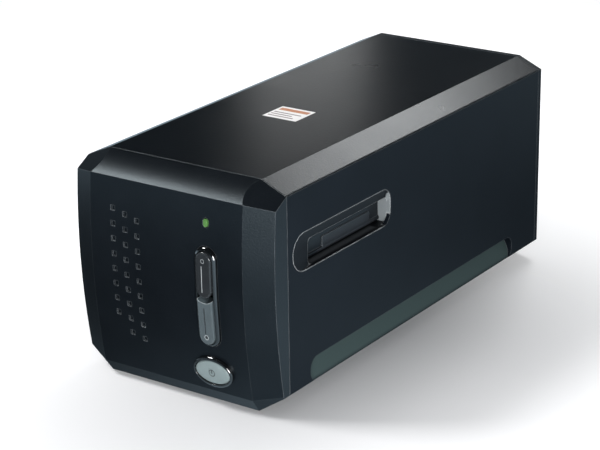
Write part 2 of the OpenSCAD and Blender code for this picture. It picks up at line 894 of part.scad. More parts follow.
module scan_key_lower() {
  mid_z = (lower_key_z[0] + lower_key_z[1]) / 2;
  half_len = (lower_key_z[1] - lower_key_z[0]) / 2;
  round_y = key_w / 2 - half_len;
  hollow_y = half_len + sqrt(pow(lower_key_hollow_r, 2) - pow(key_w / 2, 2));
  face = surround_proud + key_proud;
  color([0.5, 0.53, 0.56]) {
    on_panel(keys_x, mid_z) {
      difference() {
        union() {
          bead_bar(key_w, round_y, half_len, collar_front - 0.2, face, key_edge_r);
          bead_end(key_w, round_y, 180, collar_front - 0.2, face, key_edge_r);
        }
        translate([0, hollow_y, collar_front - 1])
          cylinder(r = lower_key_hollow_r, h = face - collar_front + 2);
      }
      key_collar(-half_len - key_collar_w, half_len - 3.4);
    }
    key_stem(mid_z);
  }
}

// Outline of the power key, grown by grow
module power_key_outline(grow) {
  oval(power_key_size[0] + grow, power_key_size[1] + grow, power_key_end_r + grow);
}

// Many-sided neck of the power key's ring, which passes through the panel
module ring_neck(grow) {
  half = power_key_size + neck_wall + [key_gap + grow, key_gap + grow];
  polygon([for (i = [0 : neck_sides - 1])
    [half[0] * cos(i * 360 / neck_sides), half[1] * sin(i * 360 / neck_sides)]]);
}

module power_ring() {
  a = power_ring_size[0];
  b = power_ring_size[1];
  // Steps of the ring's rounded face: how far below the top each ends, and its inset
  steps = [[1, 0], [0.5, 0.25], [0.2, 0.6], [0, 1]];
  color([0.02, 0.02, 0.025])
    on_panel(keys_x, power_z)
      difference() {
        union() {
          for (step = steps)
            translate([0, 0, ring_lift])
              linear_extrude(power_ring_proud - step[0] - ring_lift)
                oval(a - step[1], b - step[1], power_ring_end_r - step[1]);
          translate([0, 0, -power_back])
            linear_extrude(power_back + ring_lift + 0.1)
              ring_neck(0);
        }
        translate([0, 0, -power_back - 1])
          linear_extrude(power_back + power_ring_proud + 2)
            power_key_outline(key_gap);
      }
}

module power_key() {
  collar_top = -power_back - collar_gap;
  color([0.62, 0.65, 0.66])
    on_panel(keys_x, power_z) {
      translate([0, 0, collar_top - 0.1])
        linear_extrude(power_front - power_dome - collar_top + 0.1)
          power_key_outline(0);
      translate([0, 0, power_front - power_dome - 0.1])
        linear_extrude(power_dome + 0.1)
          power_key_outline(-0.4);
      translate([0, 0, collar_top - key_collar_t])
        linear_extrude(key_collar_t)
          power_key_outline(key_collar_w);
      translate([0, 0, collar_top - key_collar_t - 0.9])
        cylinder(r = stem_r, h = 1);
    }
}

module status_light() {
  pipe_len = key_board_y - 2.4 - bow_y(light_z);
  color([0.2, 0.75, 0.3])
    on_panel(keys_x, light_z)
      translate([0, 0, -pipe_len])
        linear_extrude(pipe_len + 0.4)
          stadium(light_size[0], light_size[1]);
}

module key_board() {
  x0 = keys_x - 17;
  x1 = keys_x + 17.4;
  color([0.1, 0.35, 0.2])
    difference() {
      block([x0, key_board_y, 11], [x1, key_board_y + board_t, 106]);
      for (p = key_post_places)
        rod_y(keys_x + p[0], p[1], key_board_y - 1, key_board_y + board_t + 1, 1.2);
    }
}

module key_switches() {
  heights = [power_z + 0.7, (lower_key_z[0] + lower_key_z[1]) / 2, (upper_key_z[0] + upper_key_z[1]) / 2];
  color([0.15, 0.15, 0.16]) {
    for (z = heights) {
      block([keys_x - 3, key_board_y - switch_body[1], z - 3], [keys_x + 3, key_board_y, z + 3]);
      rod_y(keys_x, z, plunger_tip_y, key_board_y - 1, 1.75);
    }
    block([keys_x - 1.6, key_board_y - 1.9, light_z - 1.4], [keys_x + 1.6, key_board_y, light_z + 1.4]);
  }
}

// ---- Film path ----

module film_guide() {
  guide_wall = 1.6;
  leg_w = 8;
  leg_x = chassis_w / 2 - 4.5;
  window_x = 21;
  window_y = 15;
  color([0.16, 0.16, 0.17])
    difference() {
      union() {
        along_x(-guide_end_x, guide_end_x)
          round_rect([mouth_y0 - guide_wall, mouth_z - guide_wall],
                     [mouth_y1 + guide_wall, mouth_z1 + guide_wall], 1);
        both_sides()
          for (y = [mouth_y0 - guide_wall, mouth_y1 + guide_wall - leg_w])
            block([leg_x, y, chassis_z + chassis_t], [leg_x + 3, y + leg_w, mouth_z - 0.5]);
        for (side = [-1, 1])
          block([-guide_end_x + 6, film_y + side * (window_y + 3) - 1, mouth_z1],
                [guide_end_x - 6, film_y + side * (window_y + 3) + 1, mouth_z1 + guide_wall + 0.5]);
      }
      along_x(-guide_end_x - 1, guide_end_x + 1)
        round_rect([mouth_y0, mouth_z], [mouth_y1, mouth_z1], 0.8);
      block([-window_x, film_y - window_y, mouth_z - 5], [window_x, film_y + window_y, mouth_z1 + 5]);
    }
}

// ---- Frame and carriage ----

module chassis() {
  floor_z = chassis_z + chassis_t;
  top = carriage_z + carriage_h;
  half = chassis_w / 2;
  plate_half = motor_r + 5;
  color([0.2, 0.2, 0.21])
    difference() {
      union() {
        block([-half, chassis_y0, chassis_z], [half, chassis_end_y, floor_z]);
        for (y = [chassis_y0, chassis_y1])
          block([-rod_x - 6, y, floor_z - 0.5], [rod_x + 6, y + chassis_wall_t, rod_z + 8]);
        block([-12, chassis_y1, floor_z - 0.5], [12, chassis_y1 + chassis_wall_t, top]);
        block([-plate_half, motor_plate_y, floor_z - 0.5],
              [plate_half, chassis_end_y, motor_z + motor_r - 4]);
        block([-6, chassis_y0 + 118, floor_z - 0.5], [6, chassis_y0 + 121, carriage_z - 0.4]);
        both_sides()
          block([half - 2.5, mouth_y1 + 6, floor_z - 0.5], [half, chassis_end_y, floor_z + 6]);
      }
      for (side = [-1, 1], y = [chassis_y0, chassis_y1])
        rod_y(side * rod_x, rod_z, y - 1, y + chassis_wall_t + 1, rod_r + 0.01);
      rod_y(0, screw_z, chassis_y0 + 117, chassis_y1 + chassis_wall_t + 1, bearing_r);
      rod_y(0, motor_z, motor_plate_y - 1, chassis_end_y + 1, 4.5);
      rod_y(0, motor_z, chassis_y1 - 1, motor_plate_y - 1, gear_module * pinion_teeth / 2 + 2);
      block([-gear_module * gear_teeth / 2 - 2.2, chassis_y1 + chassis_wall_t, chassis_z - 1],
            [gear_module * gear_teeth / 2 + 2.2, motor_plate_y, floor_z + 1]);
      for (y = [chassis_y0 + 16, chassis_y0 + 70])
        both_sides()
          block([10, y, chassis_z - 1], [38, y + 40, floor_z + 1]);
      both_sides()
        for (y = chassis_post_y)
          post(chassis_post_x, y, chassis_z - 1, floor_z + 1, screw_hole_r);
    }
}

module guide_rods() {
  color([0.75, 0.76, 0.78])
    for (side = [-1, 1])
      rod_y(side * rod_x, rod_z, chassis_y0, chassis_y1 + chassis_wall_t, rod_r);
}

module carriage_frame() {
  floor_t = 2.5;
  side_t = 2.5;
  half = carriage_w / 2;
  top = carriage_z + carriage_h;
  bush_y = [carriage_y0 + 30, carriage_y1 - 40];
  ear_r = 6;
  lens_y = mirror_y + 60;
  color([0.13, 0.13, 0.14])
    difference() {
      union() {
        difference() {
          block([-half, carriage_y0, carriage_z], [half, carriage_y1, top]);
          block([-half + side_t, carriage_y0 + 2, carriage_z + floor_t],
                [half - side_t, carriage_y1 - 5, top + 1]);
        }
        both_sides()
          along_x(half - side_t - 1.5, half - side_t + 0.5)
            polygon([[mirror_y - 12, carriage_z + 1], [mirror_y + 13, carriage_z + 1],
                     [mirror_y + 13, optic_z - 10.5], [mirror_y - 11, optic_z + 13.5],
                     [mirror_y - 12, optic_z + 12]]);
        block([-lens_r - 6, lens_y, carriage_z + 1], [lens_r + 6, lens_y + 16, optic_z]);
        for (y = bush_y) {
          block([-rod_x, y, rod_z - ear_r], [-half + 1, y + 12, rod_z + ear_r]);
          rod_y(-rod_x, rod_z, y, y + 12, ear_r);
        }
        block([half - 1, mirror_y + 50, rod_z - ear_r], [rod_x + 3, mirror_y + 62, rod_z + ear_r]);
      }
      for (y = bush_y)
        rod_y(-rod_x, rod_z, y - 1, y + 13, 4.52);
      block([rod_x - rod_r - 1, mirror_y + 49, rod_z - rod_r - shaft_gap],
            [rod_x + 10, mirror_y + 63, rod_z + rod_r + shaft_gap]);
      rod_y(0, optic_z, lens_y - 1, lens_y + 17, lens_r + 0.05);
      block([-22, carriage_y1 - 6, optic_z - 6], [22, carriage_y1 + 1, optic_z + 6]);
      block([-20, carriage_y0 - 1, optic_z - 6], [20, carriage_y0 + 3, top + 1]);
      both_sides()
        for (y = [mirror_y + 20, mirror_y + 90])
          block([8, y, carriage_z - 1], [22, y + 28, carriage_z + floor_t + 1]);
    }
}

module rod_bushes() {
  color([0.72, 0.55, 0.28])
    for (y = [carriage_y0 + 30, carriage_y1 - 40])
      difference() {
        rod_y(-rod_x, rod_z, y - 0.5, y + 12.5, 4.5);
        rod_y(-rod_x, rod_z, y - 2, y + 14, rod_r + shaft_gap);
      }
}

// Gantry from the trough's walls up behind the film guide and forward over the film
module lamp_arm() {
  foot_z = carriage_z + carriage_h;
  arm_z = mouth_z1 + 9.5;
  arm_h = 4;
  arm_y0 = mirror_y - 7;
  column_y = mouth_y1 + 3.2;
  half = carriage_w / 2;
  color([0.13, 0.13, 0.14]) {
    both_sides() {
      block([half - 4.5, column_y, foot_z], [half, column_y + 5, arm_z + arm_h]);
      block([half - 4.5, arm_y0, arm_z], [half, column_y + 1, arm_z + arm_h]);
      block([half - 4.5, column_y + 4, foot_z], [half, column_y + 16, foot_z + 3]);
    }
    block([-half, column_y, arm_z], [half, column_y + 5, arm_z + arm_h]);
  }
}

module lamp_bar() {
  half = carriage_w / 2 - 4.7;
  z0 = mouth_z1 + 4.4;
  color([0.75, 0.76, 0.78])
    difference() {
      union() {
        block([-half, mirror_y - 6, z0], [half, mirror_y + 6, z0 + 7]);
        block([-carriage_w / 2, mirror_y - 6, z0 + 3], [carriage_w / 2, mirror_y + 6, z0 + 5]);
      }
      block([-half + 2, mirror_y - 4, z0 - 1], [half - 2, mirror_y + 4, z0 + 5]);
    }
}

module lamp_diffuser() {
  half = carriage_w / 2 - 6.9;
  z0 = mouth_z1 + 4.4;
  color([0.92, 0.93, 0.9])
    block([-half, mirror_y - 3.9, z0], [half, mirror_y + 3.9, z0 + 2]);
}

module fold_mirror() {
  color([0.8, 0.82, 0.85])
    translate([0, mirror_y + 1.2, optic_z - 1.2])
      rotate([-45, 0, 0])
        translate([-carriage_w / 2 + 4.2, -15, 0.6])
          cube([carriage_w - 8.4, 30, 2.5]);
}

module lens_barrel() {
  y0 = mirror_y + 58;
  color([0.1, 0.1, 0.11])
    difference() {
      union() {
        rod_y(0, optic_z, y0, y0 + 22, lens_r);
        rod_y(0, optic_z, y0 - 5, y0 + 1, lens_r - 1.5);
      }
      rod_y(0, optic_z, y0 - 6, y0 + 23, lens_r - 3);
    }
}

module lens_glass() {
  y0 = mirror_y + 58;
  r = lens_r - 3.02;
  color([0.75, 0.85, 0.9])
    for (y = [y0 + 1, y0 + 15])
      intersection() {
        rod_y(0, optic_z, y, y + 5, r);
        translate([0, y + 16, optic_z])
          sphere(r = 16, $fn = 128);
        translate([0, y + 5 - 16, optic_z])
          sphere(r = 16, $fn = 128);
      }
}

module lens_clamp() {
  lens_y = mirror_y + 60;
  reach = lens_r + 6;
  color([0.7, 0.71, 0.73])
    difference() {
      union() {
        block([-reach, lens_y + 3, optic_z], [reach, lens_y + 13, optic_z + 1.5]);
        rod_y(0, optic_z, lens_y + 3, lens_y + 13, lens_r + 1.5);
      }
      rod_y(0, optic_z, lens_y + 2, lens_y + 14, lens_r + 0.05);
      block([-reach - 1, lens_y, optic_z - 2 * lens_r], [reach + 1, lens_y + 16, optic_z]);
    }
}

module sensor_board() {
  half = carriage_w / 2 - 3.5;
  color([0.1, 0.35, 0.2])
    block([-half, carriage_y1, carriage_z + 3], [half, carriage_y1 + board_t, carriage_z + carriage_h]);
}

module line_sensor() {
  color([0.25, 0.24, 0.24])
    difference() {
      block([-20.5, carriage_y1 - 3, optic_z - 4.5], [20.5, carriage_y1, optic_z + 4.5]);
      block([-18, carriage_y1 - 4, optic_z - 1], [18, carriage_y1 - 2.5, optic_z + 1]);
    }
}

module drive_screw() {
  journal_r = 2;
  front_journal_y = chassis_y0 + 118;
  color([0.72, 0.73, 0.75]) {
    rod_y(0, screw_z, front_journal_y + 3.4, chassis_y1 - 0.4, screw_r);
    rod_y(0, screw_z, front_journal_y - 0.6, gear_y + gear_t + 0.6, journal_r);
  }
}

module drive_nut() {
  nut_y = carriage_y1 - 22;
  half = 6;
  color([0.9, 0.9, 0.86])
    difference() {
      block([-half, nut_y, screw_z - 4.2], [half, nut_y + 12, carriage_z]);
      rod_y(0, screw_z, nut_y - 1, nut_y + 13, screw_r + shaft_gap);
    }
}

// Spur gear outline with straight-sided teeth; tooth 0 points along +X
module gear_outline(teeth) {
  pitch_r = gear_module * teeth / 2;
  root_r = pitch_r - 1.2 * gear_module;
  tip_r = pitch_r + 0.95 * gear_module;
  step = 360 / teeth;
  polygon([
    for (i = [0 : teeth - 1], p = [[root_r, -0.3], [pitch_r, -0.21], [tip_r, -0.11],
                                   [tip_r, 0.11], [pitch_r, 0.21], [root_r, 0.3]])
      p[0] * [cos((i + p[1]) * step), sin((i + p[1]) * step)]
  ]);
}

module drive_gear() {
  color([0.9, 0.9, 0.86])
    translate([0, gear_y + gear_t, screw_z])
      rotate([90, 0, 0])
        difference() {
          union() {
            linear_extrude(gear_t)
              gear_outline(gear_teeth);
            translate([0, 0, -0.3])
              cylinder(r = 4, h = gear_t + 0.6);
          }
          translate([0, 0, -1])
            cylinder(r = 2.01, h = gear_t + 2);
          for (i = [0:4])
            rotate([0, 0, i * 72])
              translate([7, 0, -1])
                cylinder(r = 1.9, h = gear_t + 2);
        }
}

module screw_bearings() {
  color([0.72, 0.55, 0.28])
    for (y = [chassis_y0 + 118, chassis_y1])
      difference() {
        rod_y(0, screw_z, y, y + 3, bearing_r - 0.02);
        rod_y(0, screw_z, y - 1, y + 4, 2 + shaft_gap);
      }
}

module motor() {
  y1 = chassis_end_y + motor_len;
  flange_t = 1;
  color([0.6, 0.61, 0.63])
    difference() {
      union() {
        rod_y(0, motor_z, chassis_end_y + flange_t - eps, y1, motor_r);
        rod_y(0, motor_z, motor_plate_y + 0.3, chassis_end_y + 1, 4.4);
        intersection() {
          rod_y(0, motor_z, chassis_end_y, chassis_end_y + flange_t, motor_r + 6);
          block([-motor_r - 6, chassis_end_y - 1, motor_z - 6],
                [motor_r + 6, chassis_end_y + 2, motor_z + 6]);
        }
        rod_y(0, motor_z, chassis_end_y, chassis_end_y + flange_t, motor_r - 0.5);
      }
      rod_y(0, motor_z, motor_plate_y - 1, y1 - 2, 1 + shaft_gap);
      for (side = [-1, 1])
        rod_y(side * (motor_r + 3), motor_z, chassis_end_y - 1, chassis_end_y + 3, 1.6);
    }
}

module motor_shaft() {
  color([0.75, 0.76, 0.78])
    rod_y(0, motor_z, gear_y - 0.5, chassis_end_y + motor_len - 3, 1);
}

module motor_pinion() {
  color([0.72, 0.6, 0.3])
    translate([0, gear_y + gear_t, motor_z])
      rotate([90, 0, 0])
        difference() {
          linear_extrude(gear_t)
            gear_outline(pinion_teeth);
          translate([0, 0, -1])
            cylinder(r = 1.01, h = gear_t + 2);
        }
}

// ---- Electronics, feet and fasteners ----

module main_board() {
  color([0.1, 0.35, 0.2])
    difference() {
      block([-main_board_half_w, main_board_y[0], main_board_z],
            [main_board_half_w, main_board_y[1], main_board_z + board_t]);
      both_sides()
        for (y = [main_board_y[0] + main_post_in, main_board_y[1] - main_post_in])
          post(main_board_half_w - main_post_in, y, main_board_z - 1, main_board_z + board_t + 1, 1.7);
    }
}

module board_chips() {
  z = main_board_z + board_t;
  color([0.08, 0.08, 0.09]) {
    block([-20, main_board_y[0] + 24, z], [0, main_board_y[0] + 44, z + 1.6]);
    block([8, main_board_y[0] + 28, z], [22, main_board_y[0] + 40, z + 1.4]);
    block([-24, main_board_y[0] + 58, z], [-14, main_board_y[0] + 66, z + 1.4]);
    for (x = [4, 14])
      post(x, main_board_y[0] + 70, z, z + 8, 4);
  }
}

module usb_socket() {
  z = main_board_z + board_t;
  y1 = rear_y - 0.4;
  half = usb_size[0] / 2;
  color([0.75, 0.76, 0.78])
    difference() {
      block([usb_x - half, y1 - usb_size[1], z], [usb_x + half, y1, z + usb_size[2]]);
      translate([0, y1 + 1, 0])
        rotate([90, 0, 0])
          linear_extrude(11)
            polygon([[usb_x - half + 1, z + 1], [usb_x + half - 1, z + 1], [usb_x + half - 1, z + 8],
                     [usb_x + half - 2.6, z + 10], [usb_x - half + 2.6, z + 10], [usb_x - half + 1, z + 8]]);
    }
  color([0.9, 0.9, 0.9])
    block([usb_x - 2.8, y1 - 11, z + 3.8], [usb_x + 2.8, y1 - 1, z + 7]);
}

module power_socket() {
  z = main_board_z + board_t;
  y1 = rear_y - 0.4;
  half = jack_size[0] / 2;
  color([0.06, 0.06, 0.07])
    difference() {
      block([jack_x - half, y1 - jack_size[1], z], [jack_x + half, y1, z + jack_size[2]]);
      rod_y(jack_x, z + 6, y1 - 10, y1 + 1, jack_r);
    }
  color([0.75, 0.76, 0.78])
    rod_y(jack_x, z + 6, y1 - 11, y1 - 1, 1);
}

module rubber_feet() {
  color([0.05, 0.05, 0.055])
    both_sides()
      for (p = foot_places) {
        post(p[0], p[1], 0.6, foot_h, foot_r);
        post(p[0], p[1], 0, 0.6, foot_r - 0.5);
      }
}

module case_screws() {
  color([0.35, 0.35, 0.36])
    both_sides()
      for (y = case_post_y)
        translate([case_post_x, y, case_web_z])
          screw_up(case_post_split_z - case_web_z + 10);
}

module chassis_screws() {
  color([0.35, 0.35, 0.36])
    both_sides()
      for (y = chassis_post_y)
        translate([chassis_post_x, y, chassis_z + chassis_t])
          mirror([0, 0, 1])
            screw_up(10);
}

module board_screws() {
  color([0.35, 0.35, 0.36]) {
    both_sides()
      for (y = [main_board_y[0] + main_post_in, main_board_y[1] - main_post_in])
        translate([main_board_half_w - main_post_in, y, main_board_z + board_t])
          mirror([0, 0, 1])
            screw_up(5);
    for (p = key_post_places) {
      rod_y(keys_x + p[0], p[1], key_board_y - 5, key_board_y + board_t + 0.1, 1);
      rod_y(keys_x + p[0], p[1], key_board_y + board_t, key_board_y + board_t + 1.4, 2);
    }
  }
}

base_shell();
top_cover();
front_bezel();
rear_panel();
slot_frame_right();
slot_frame_left();
dust_door_right();
dust_door_left();
hinge_pins();
door_springs();
key_surround();
scan_key_upper();
scan_key_lower();
power_ring();
power_key();
status_light();
key_board();
key_switches();
film_guide();
chassis();
guide_rods();
carriage_frame();
rod_bushes();
lamp_arm();
lamp_bar();
lamp_diffuser();
fold_mirror();
lens_barrel();
lens_glass();
lens_clamp();
sensor_board();
line_sensor();
drive_screw();
drive_nut();
drive_gear();
screw_bearings();
motor();
motor_shaft();
motor_pinion();
main_board();
board_chips();
usb_socket();
power_socket();
rubber_feet();
case_screws();
chassis_screws();
board_screws();
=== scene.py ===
"""Looks of a desktop film negative scanner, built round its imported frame.

The frame gives every rigid piece its shape and place. This script gives each of them a
finish, adds the thin pieces that have no solid of their own (the paper sticker and the marks
on the keys), makes three pieces of the key group again with smooth faces (the surround, the
power ring and the power key), and sets the floor, the lamps and the camera.
"""

import functools
import logging
import math
from collections.abc import Callable, Iterable
from dataclasses import dataclass, field
from enum import Enum
from typing import ClassVar

import bmesh
import bpy
from mathutils import Matrix, Vector

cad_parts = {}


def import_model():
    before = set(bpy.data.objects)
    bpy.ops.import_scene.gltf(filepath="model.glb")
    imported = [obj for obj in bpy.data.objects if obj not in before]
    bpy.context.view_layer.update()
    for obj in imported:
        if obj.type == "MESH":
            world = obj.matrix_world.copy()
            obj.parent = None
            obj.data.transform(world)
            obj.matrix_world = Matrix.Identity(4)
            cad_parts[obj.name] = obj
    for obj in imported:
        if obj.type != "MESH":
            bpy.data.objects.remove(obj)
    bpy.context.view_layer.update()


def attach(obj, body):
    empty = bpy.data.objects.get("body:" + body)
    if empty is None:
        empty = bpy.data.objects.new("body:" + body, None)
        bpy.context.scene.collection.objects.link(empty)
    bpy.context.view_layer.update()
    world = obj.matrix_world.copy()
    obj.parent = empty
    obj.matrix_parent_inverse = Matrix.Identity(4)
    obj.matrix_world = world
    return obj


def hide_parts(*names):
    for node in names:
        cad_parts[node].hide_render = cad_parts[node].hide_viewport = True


log = logging.getLogger("film_scanner")

Colour = tuple[float, float, float]
Triple = tuple[float, float, float]
Fall = tuple[float, float, float, float]
Piece = bpy.types.Object
Node = bpy.types.Node
Socket = bpy.types.NodeSocket

MM = 0.001
WHITE: Colour = (1.0, 1.0, 1.0)
ORIGIN: Triple = (0.0, 0.0, 0.0)
SMOOTH_ANGLE = math.radians(40)
INSET_SHARE = 0.12
MERGE_DISTANCE = 1e-6


# ---------------------------------------------------------------- helpers for meshes


def deselect_all() -> None:
    """Leaves object mode with nothing selected."""
    if bpy.context.object is not None and bpy.context.object.mode != "OBJECT":
        bpy.ops.object.mode_set(mode="OBJECT")
    bpy.ops.object.select_all(action="DESELECT")


def select_only(piece: Piece) -> None:
    """Leaves object mode with one piece selected and active."""
    deselect_all()
    piece.select_set(True)
    bpy.context.view_layer.objects.active = piece


def take(name: str) -> Piece:
    """Names the object that an operator has just added.

    Args:
        name: The new name of the piece.

    Returns:
        The active object.
    """
    piece = bpy.context.object
    piece.name = name
    piece.data.name = name
    return piece


def settle(piece: Piece) -> None:
    """Puts a piece's place into its mesh, so that its object sits at the origin."""
    select_only(piece)
    bpy.ops.object.transform_apply(location=True, rotation=True, scale=True)


def edit_all(piece: Piece) -> None:
    """Enters edit mode on a piece with all of it selected."""
    select_only(piece)
    bpy.ops.object.mode_set(mode="EDIT")
    bpy.ops.mesh.select_all(action="SELECT")


def facing_out(piece: Piece) -> None:
    """Merges a piece's doubled points and turns its faces outwards."""
    edit_all(piece)
    bpy.ops.mesh.remove_doubles(threshold=MERGE_DISTANCE)
    bpy.ops.mesh.normals_make_consistent(inside=False)
    bpy.ops.object.mode_set(mode="OBJECT")


def extrude(value: Iterable[float]) -> None:
    """Extrudes what is selected in edit mode by a vector."""
    bpy.ops.mesh.extrude_region_move(TRANSFORM_OT_translate={"value": tuple(value)})


def pick(piece: Piece, kind: str, wanted: Callable[..., bool]) -> None:
    """Selects, in edit mode, only the elements that pass a test.

    Args:
        piece: The object in edit mode.
        kind: Which elements to go through, "verts" or "faces".
        wanted: The test of one element.
    """
    bpy.ops.mesh.select_all(action="DESELECT")
    mesh = bmesh.from_edit_mesh(piece.data)
    for element in {"verts": mesh.verts, "faces": mesh.faces}[kind]:
        if wanted(element):
            element.select_set(True)
    mesh.select_flush_mode()
    bmesh.update_edit_mesh(piece.data)


def bridge_open_edges() -> None:
    """Joins the two open loops of the mesh in edit mode."""
    bpy.ops.mesh.select_all(action="DESELECT")
    bpy.ops.mesh.select_non_manifold()
    bpy.ops.mesh.bridge_edge_loops()


def plate(name: str, size: Triple, place: Matrix) -> Piece:
    """Makes a thin plate with an inset face.

    Args:
        name: The name of the piece.
        size: Width, height and thickness in metres; the back lies on the place's plane.
        place: The plate's frame, with its third axis pointing out of the face.

    Returns:
        The plate, settled.
    """
    deselect_all()
    bpy.ops.mesh.primitive_plane_add(size=1, location=ORIGIN)
    piece = take(name)
    piece.matrix_world = place @ Matrix.Diagonal((size[0], size[1], 1, 1))
    settle(piece)
    edit_all(piece)
    out = (place.to_3x3() @ Vector((0, 0, 1))).normalized()
    extrude(out * size[2])
    bpy.ops.mesh.inset(thickness=min(size[0], size[1]) * INSET_SHARE, depth=0)
    bpy.ops.object.mode_set(mode="OBJECT")
    facing_out(piece)
    return piece


def oval_loft(name: str, loops: Iterable[Triple], closed: bool, sides: int = 96) -> Piece:
    """Lofts a smooth oval piece from loops stacked along the third axis.

    Args:
        name: The name of the piece.
        loops: Half width, half height and height of each loop in millimetres.
        closed: Whether the last loop is filled, or else bridged to the first.
        sides: How many sides each loop has.

    Returns:
        The piece, at the origin and not yet placed.
    """
    (wide, high, level), *others = [[v * MM for v in loop] for loop in loops]
    deselect_all()
    bpy.ops.mesh.primitive_circle_add(vertices=sides, radius=1.0, fill_type="NOTHING")
    piece = take(name)
    edit_all(piece)
    bpy.ops.transform.resize(value=(wide, high, 1.0))
    bpy.ops.transform.translate(value=(0, 0, level))
    for half_x, half_y, out in others:
        extrude((0, 0, out - level))
        bpy.ops.transform.resize(value=(half_x / wide, half_y / high, 1.0))
        wide, high, level = half_x, half_y, out
    if closed:
        bpy.ops.mesh.edge_face_add()
    else:
        bridge_open_edges()
    bpy.ops.object.mode_set(mode="OBJECT")
    return piece


# ---------------------------------------------------------------- helpers for materials


@dataclass
class Wiring:
    """A node tree, with short ways to add and join nodes."""

    tree: bpy.types.NodeTree

    def feed(self, value: object, target: Socket) -> None:
        """Links a socket to an input, or sets the input's own value."""
        if isinstance(value, Socket):
            self.tree.links.new(value, target)
        else:
            target.default_value = value

    def fill(self, node: Node, **values: object) -> None:
        """Sets a node's properties, or feeds its inputs by name with "_" for a space."""
        for key, value in values.items():
            if hasattr(node, key):
                setattr(node, key, value)
            else:
                self.feed(value, node.inputs[key.replace("_", " ")])

    def add(self, kind: str, *given: object, **values: object) -> Node:
        """Adds a node.

        Args:
            kind: The node's type name, without its "ShaderNode" start.
            *given: Sockets or values for its first inputs.
            **values: Properties to set, or inputs by name with "_" for a space.

        Returns:
            The new node.
        """
        node = self.tree.nodes.new("ShaderNode" + kind)
        self.fill(node, **values)
        for index, value in enumerate(given):
            self.feed(value, node.inputs[index])
        return node

    def find(self, kind: str) -> Node:
        """Finds the first node of a type, given without its "ShaderNode" start."""
        return next(n for n in self.tree.nodes if n.bl_idname == "ShaderNode" + kind)

    def coordinate(self, space: str) -> Socket:
        """Gives a texture coordinate by its name."""
        return self.add("TexCoord").outputs[space]

    def axes(self, vector: Socket) -> bpy.types.NodeOutputs:
        """Splits a vector into its X, Y and Z."""
        return self.add("SeparateXYZ", vector).outputs

    def noise(self, place: Socket, **values: object) -> Socket:
        """Gives a noise texture's value at a place."""
        return self.add("TexNoise", place, **values).outputs["Fac"]

    def math(self, operation: str, *given: Socket | float, **values: object) -> Socket:
        """Gives the result of a sum with numbers."""
        return self.add("Math", *given, operation=operation, **values).outputs["Value"]

    def vector(
        self, operation: str, *given: Socket | Triple, result: str = "Vector"
    ) -> Socket:
        """Gives the result of a sum with vectors."""
        return self.add("VectorMath", *given, operation=operation).outputs[result]

    def product(self, *factors: Socket) -> Socket:
        """Multiplies masks, and keeps the result between 0 and 1."""
        times = functools.partial(self.math, "MULTIPLY", use_clamp=True)
        return functools.reduce(times, factors)

    def map_range(
        self,
        value: Socket,
        near: float,
        far: float,
        at_near: float = 0.0,
        at_far: float = 1.0,
        **values: object,
    ) -> Socket:
        """Maps a value from one range to another, and holds it inside.

        Args:
            value: The value to map.
            near: One end of its range.
            far: The other end.
            at_near: The result at the one end.
            at_far: The result at the other end.
            **values: Other properties of the node.

        Returns:
            The result's socket.
        """
        ends = {"From_Min": near, "From_Max": far, "To_Min": at_near, "To_Max": at_far}
        return self.add("MapRange", value, clamp=True, **ends, **values).outputs["Result"]

    def mix(self, mask: Socket, under: Socket | Colour, over: Colour) -> Socket:
        """Lays a colour over another.

        Args:
            mask: Where the second colour shows.
            under: The colour, or its socket, where the mask is 0.
            over: The colour where the mask is 1.

        Returns:
            The mixed colour's socket.
        """
        first = under if isinstance(under, Socket) else (*under, 1)
        mixed = self.add("Mix", data_type="RGBA", A=first, B=(*over, 1), Factor=mask)
        return mixed.outputs["Result"]

    def source(self, kind: str, colour: Colour, strength: Socket | float) -> Socket:
        """Adds a source of plain light, an "Emission" or a "Background"."""
        return self.add(kind, Color=(*colour, 1), Strength=strength).outputs[kind]

    def blend(self, mask: Socket, first: Socket, second: Socket) -> Socket:
        """Shows the second shader where the mask is 1, and else the first."""
        return self.add("MixShader", mask, first, second).outputs["Shader"]

    def reflected(self) -> Socket:
        """Masks what is seen in reflections and through clear pieces."""
        path = self.add("LightPath").outputs
        return self.math("MAXIMUM", path["Is Glossy Ray"], path["Is Transmission Ray"])

    def folded(self, space: str) -> Socket:
        """Gives a coordinate of the right side, and its mirror image on the left."""
        parts = self.axes(self.coordinate(space))
        either = self.math("ABSOLUTE", parts["X"])
        return self.add("CombineXYZ", either, parts["Y"], parts["Z"]).outputs["Vector"]

    def region(self, centre: Triple, half: Triple, soft: float) -> Socket:
        """Masks a box of the object's own space, and its mirror image across the middle.

        Args:
            centre: The box's centre in metres, on the right side.
            half: Half its size.
            soft: Width of its soft border.

        Returns:
            The mask's socket, 1 well inside the box.
        """
        away = self.vector("SUBTRACT", self.folded("Object"), centre)
        past = self.axes(self.vector("SUBTRACT", self.vector("ABSOLUTE", away), half))
        most = self.math("MAXIMUM", past["X"], past["Y"])
        return self.map_range(self.math("MAXIMUM", most, past["Z"]), 0.0, -soft)

    def facing(self, direction: Triple, least: float, soft: float = 0.08) -> Socket:
        """Masks the faces that look along a direction in the object's own space.

        Args:
            direction: The direction, of length 1; its first part counts on either side.
            least: The cosine at which the mask starts.
            soft: How much more of it gives the full mask.

        Returns:
            The mask's socket.
        """
        dot = self.vector("DOT_PRODUCT", self.folded("Normal"), direction, result="Value")
        return self.map_range(dot, least, least + soft)

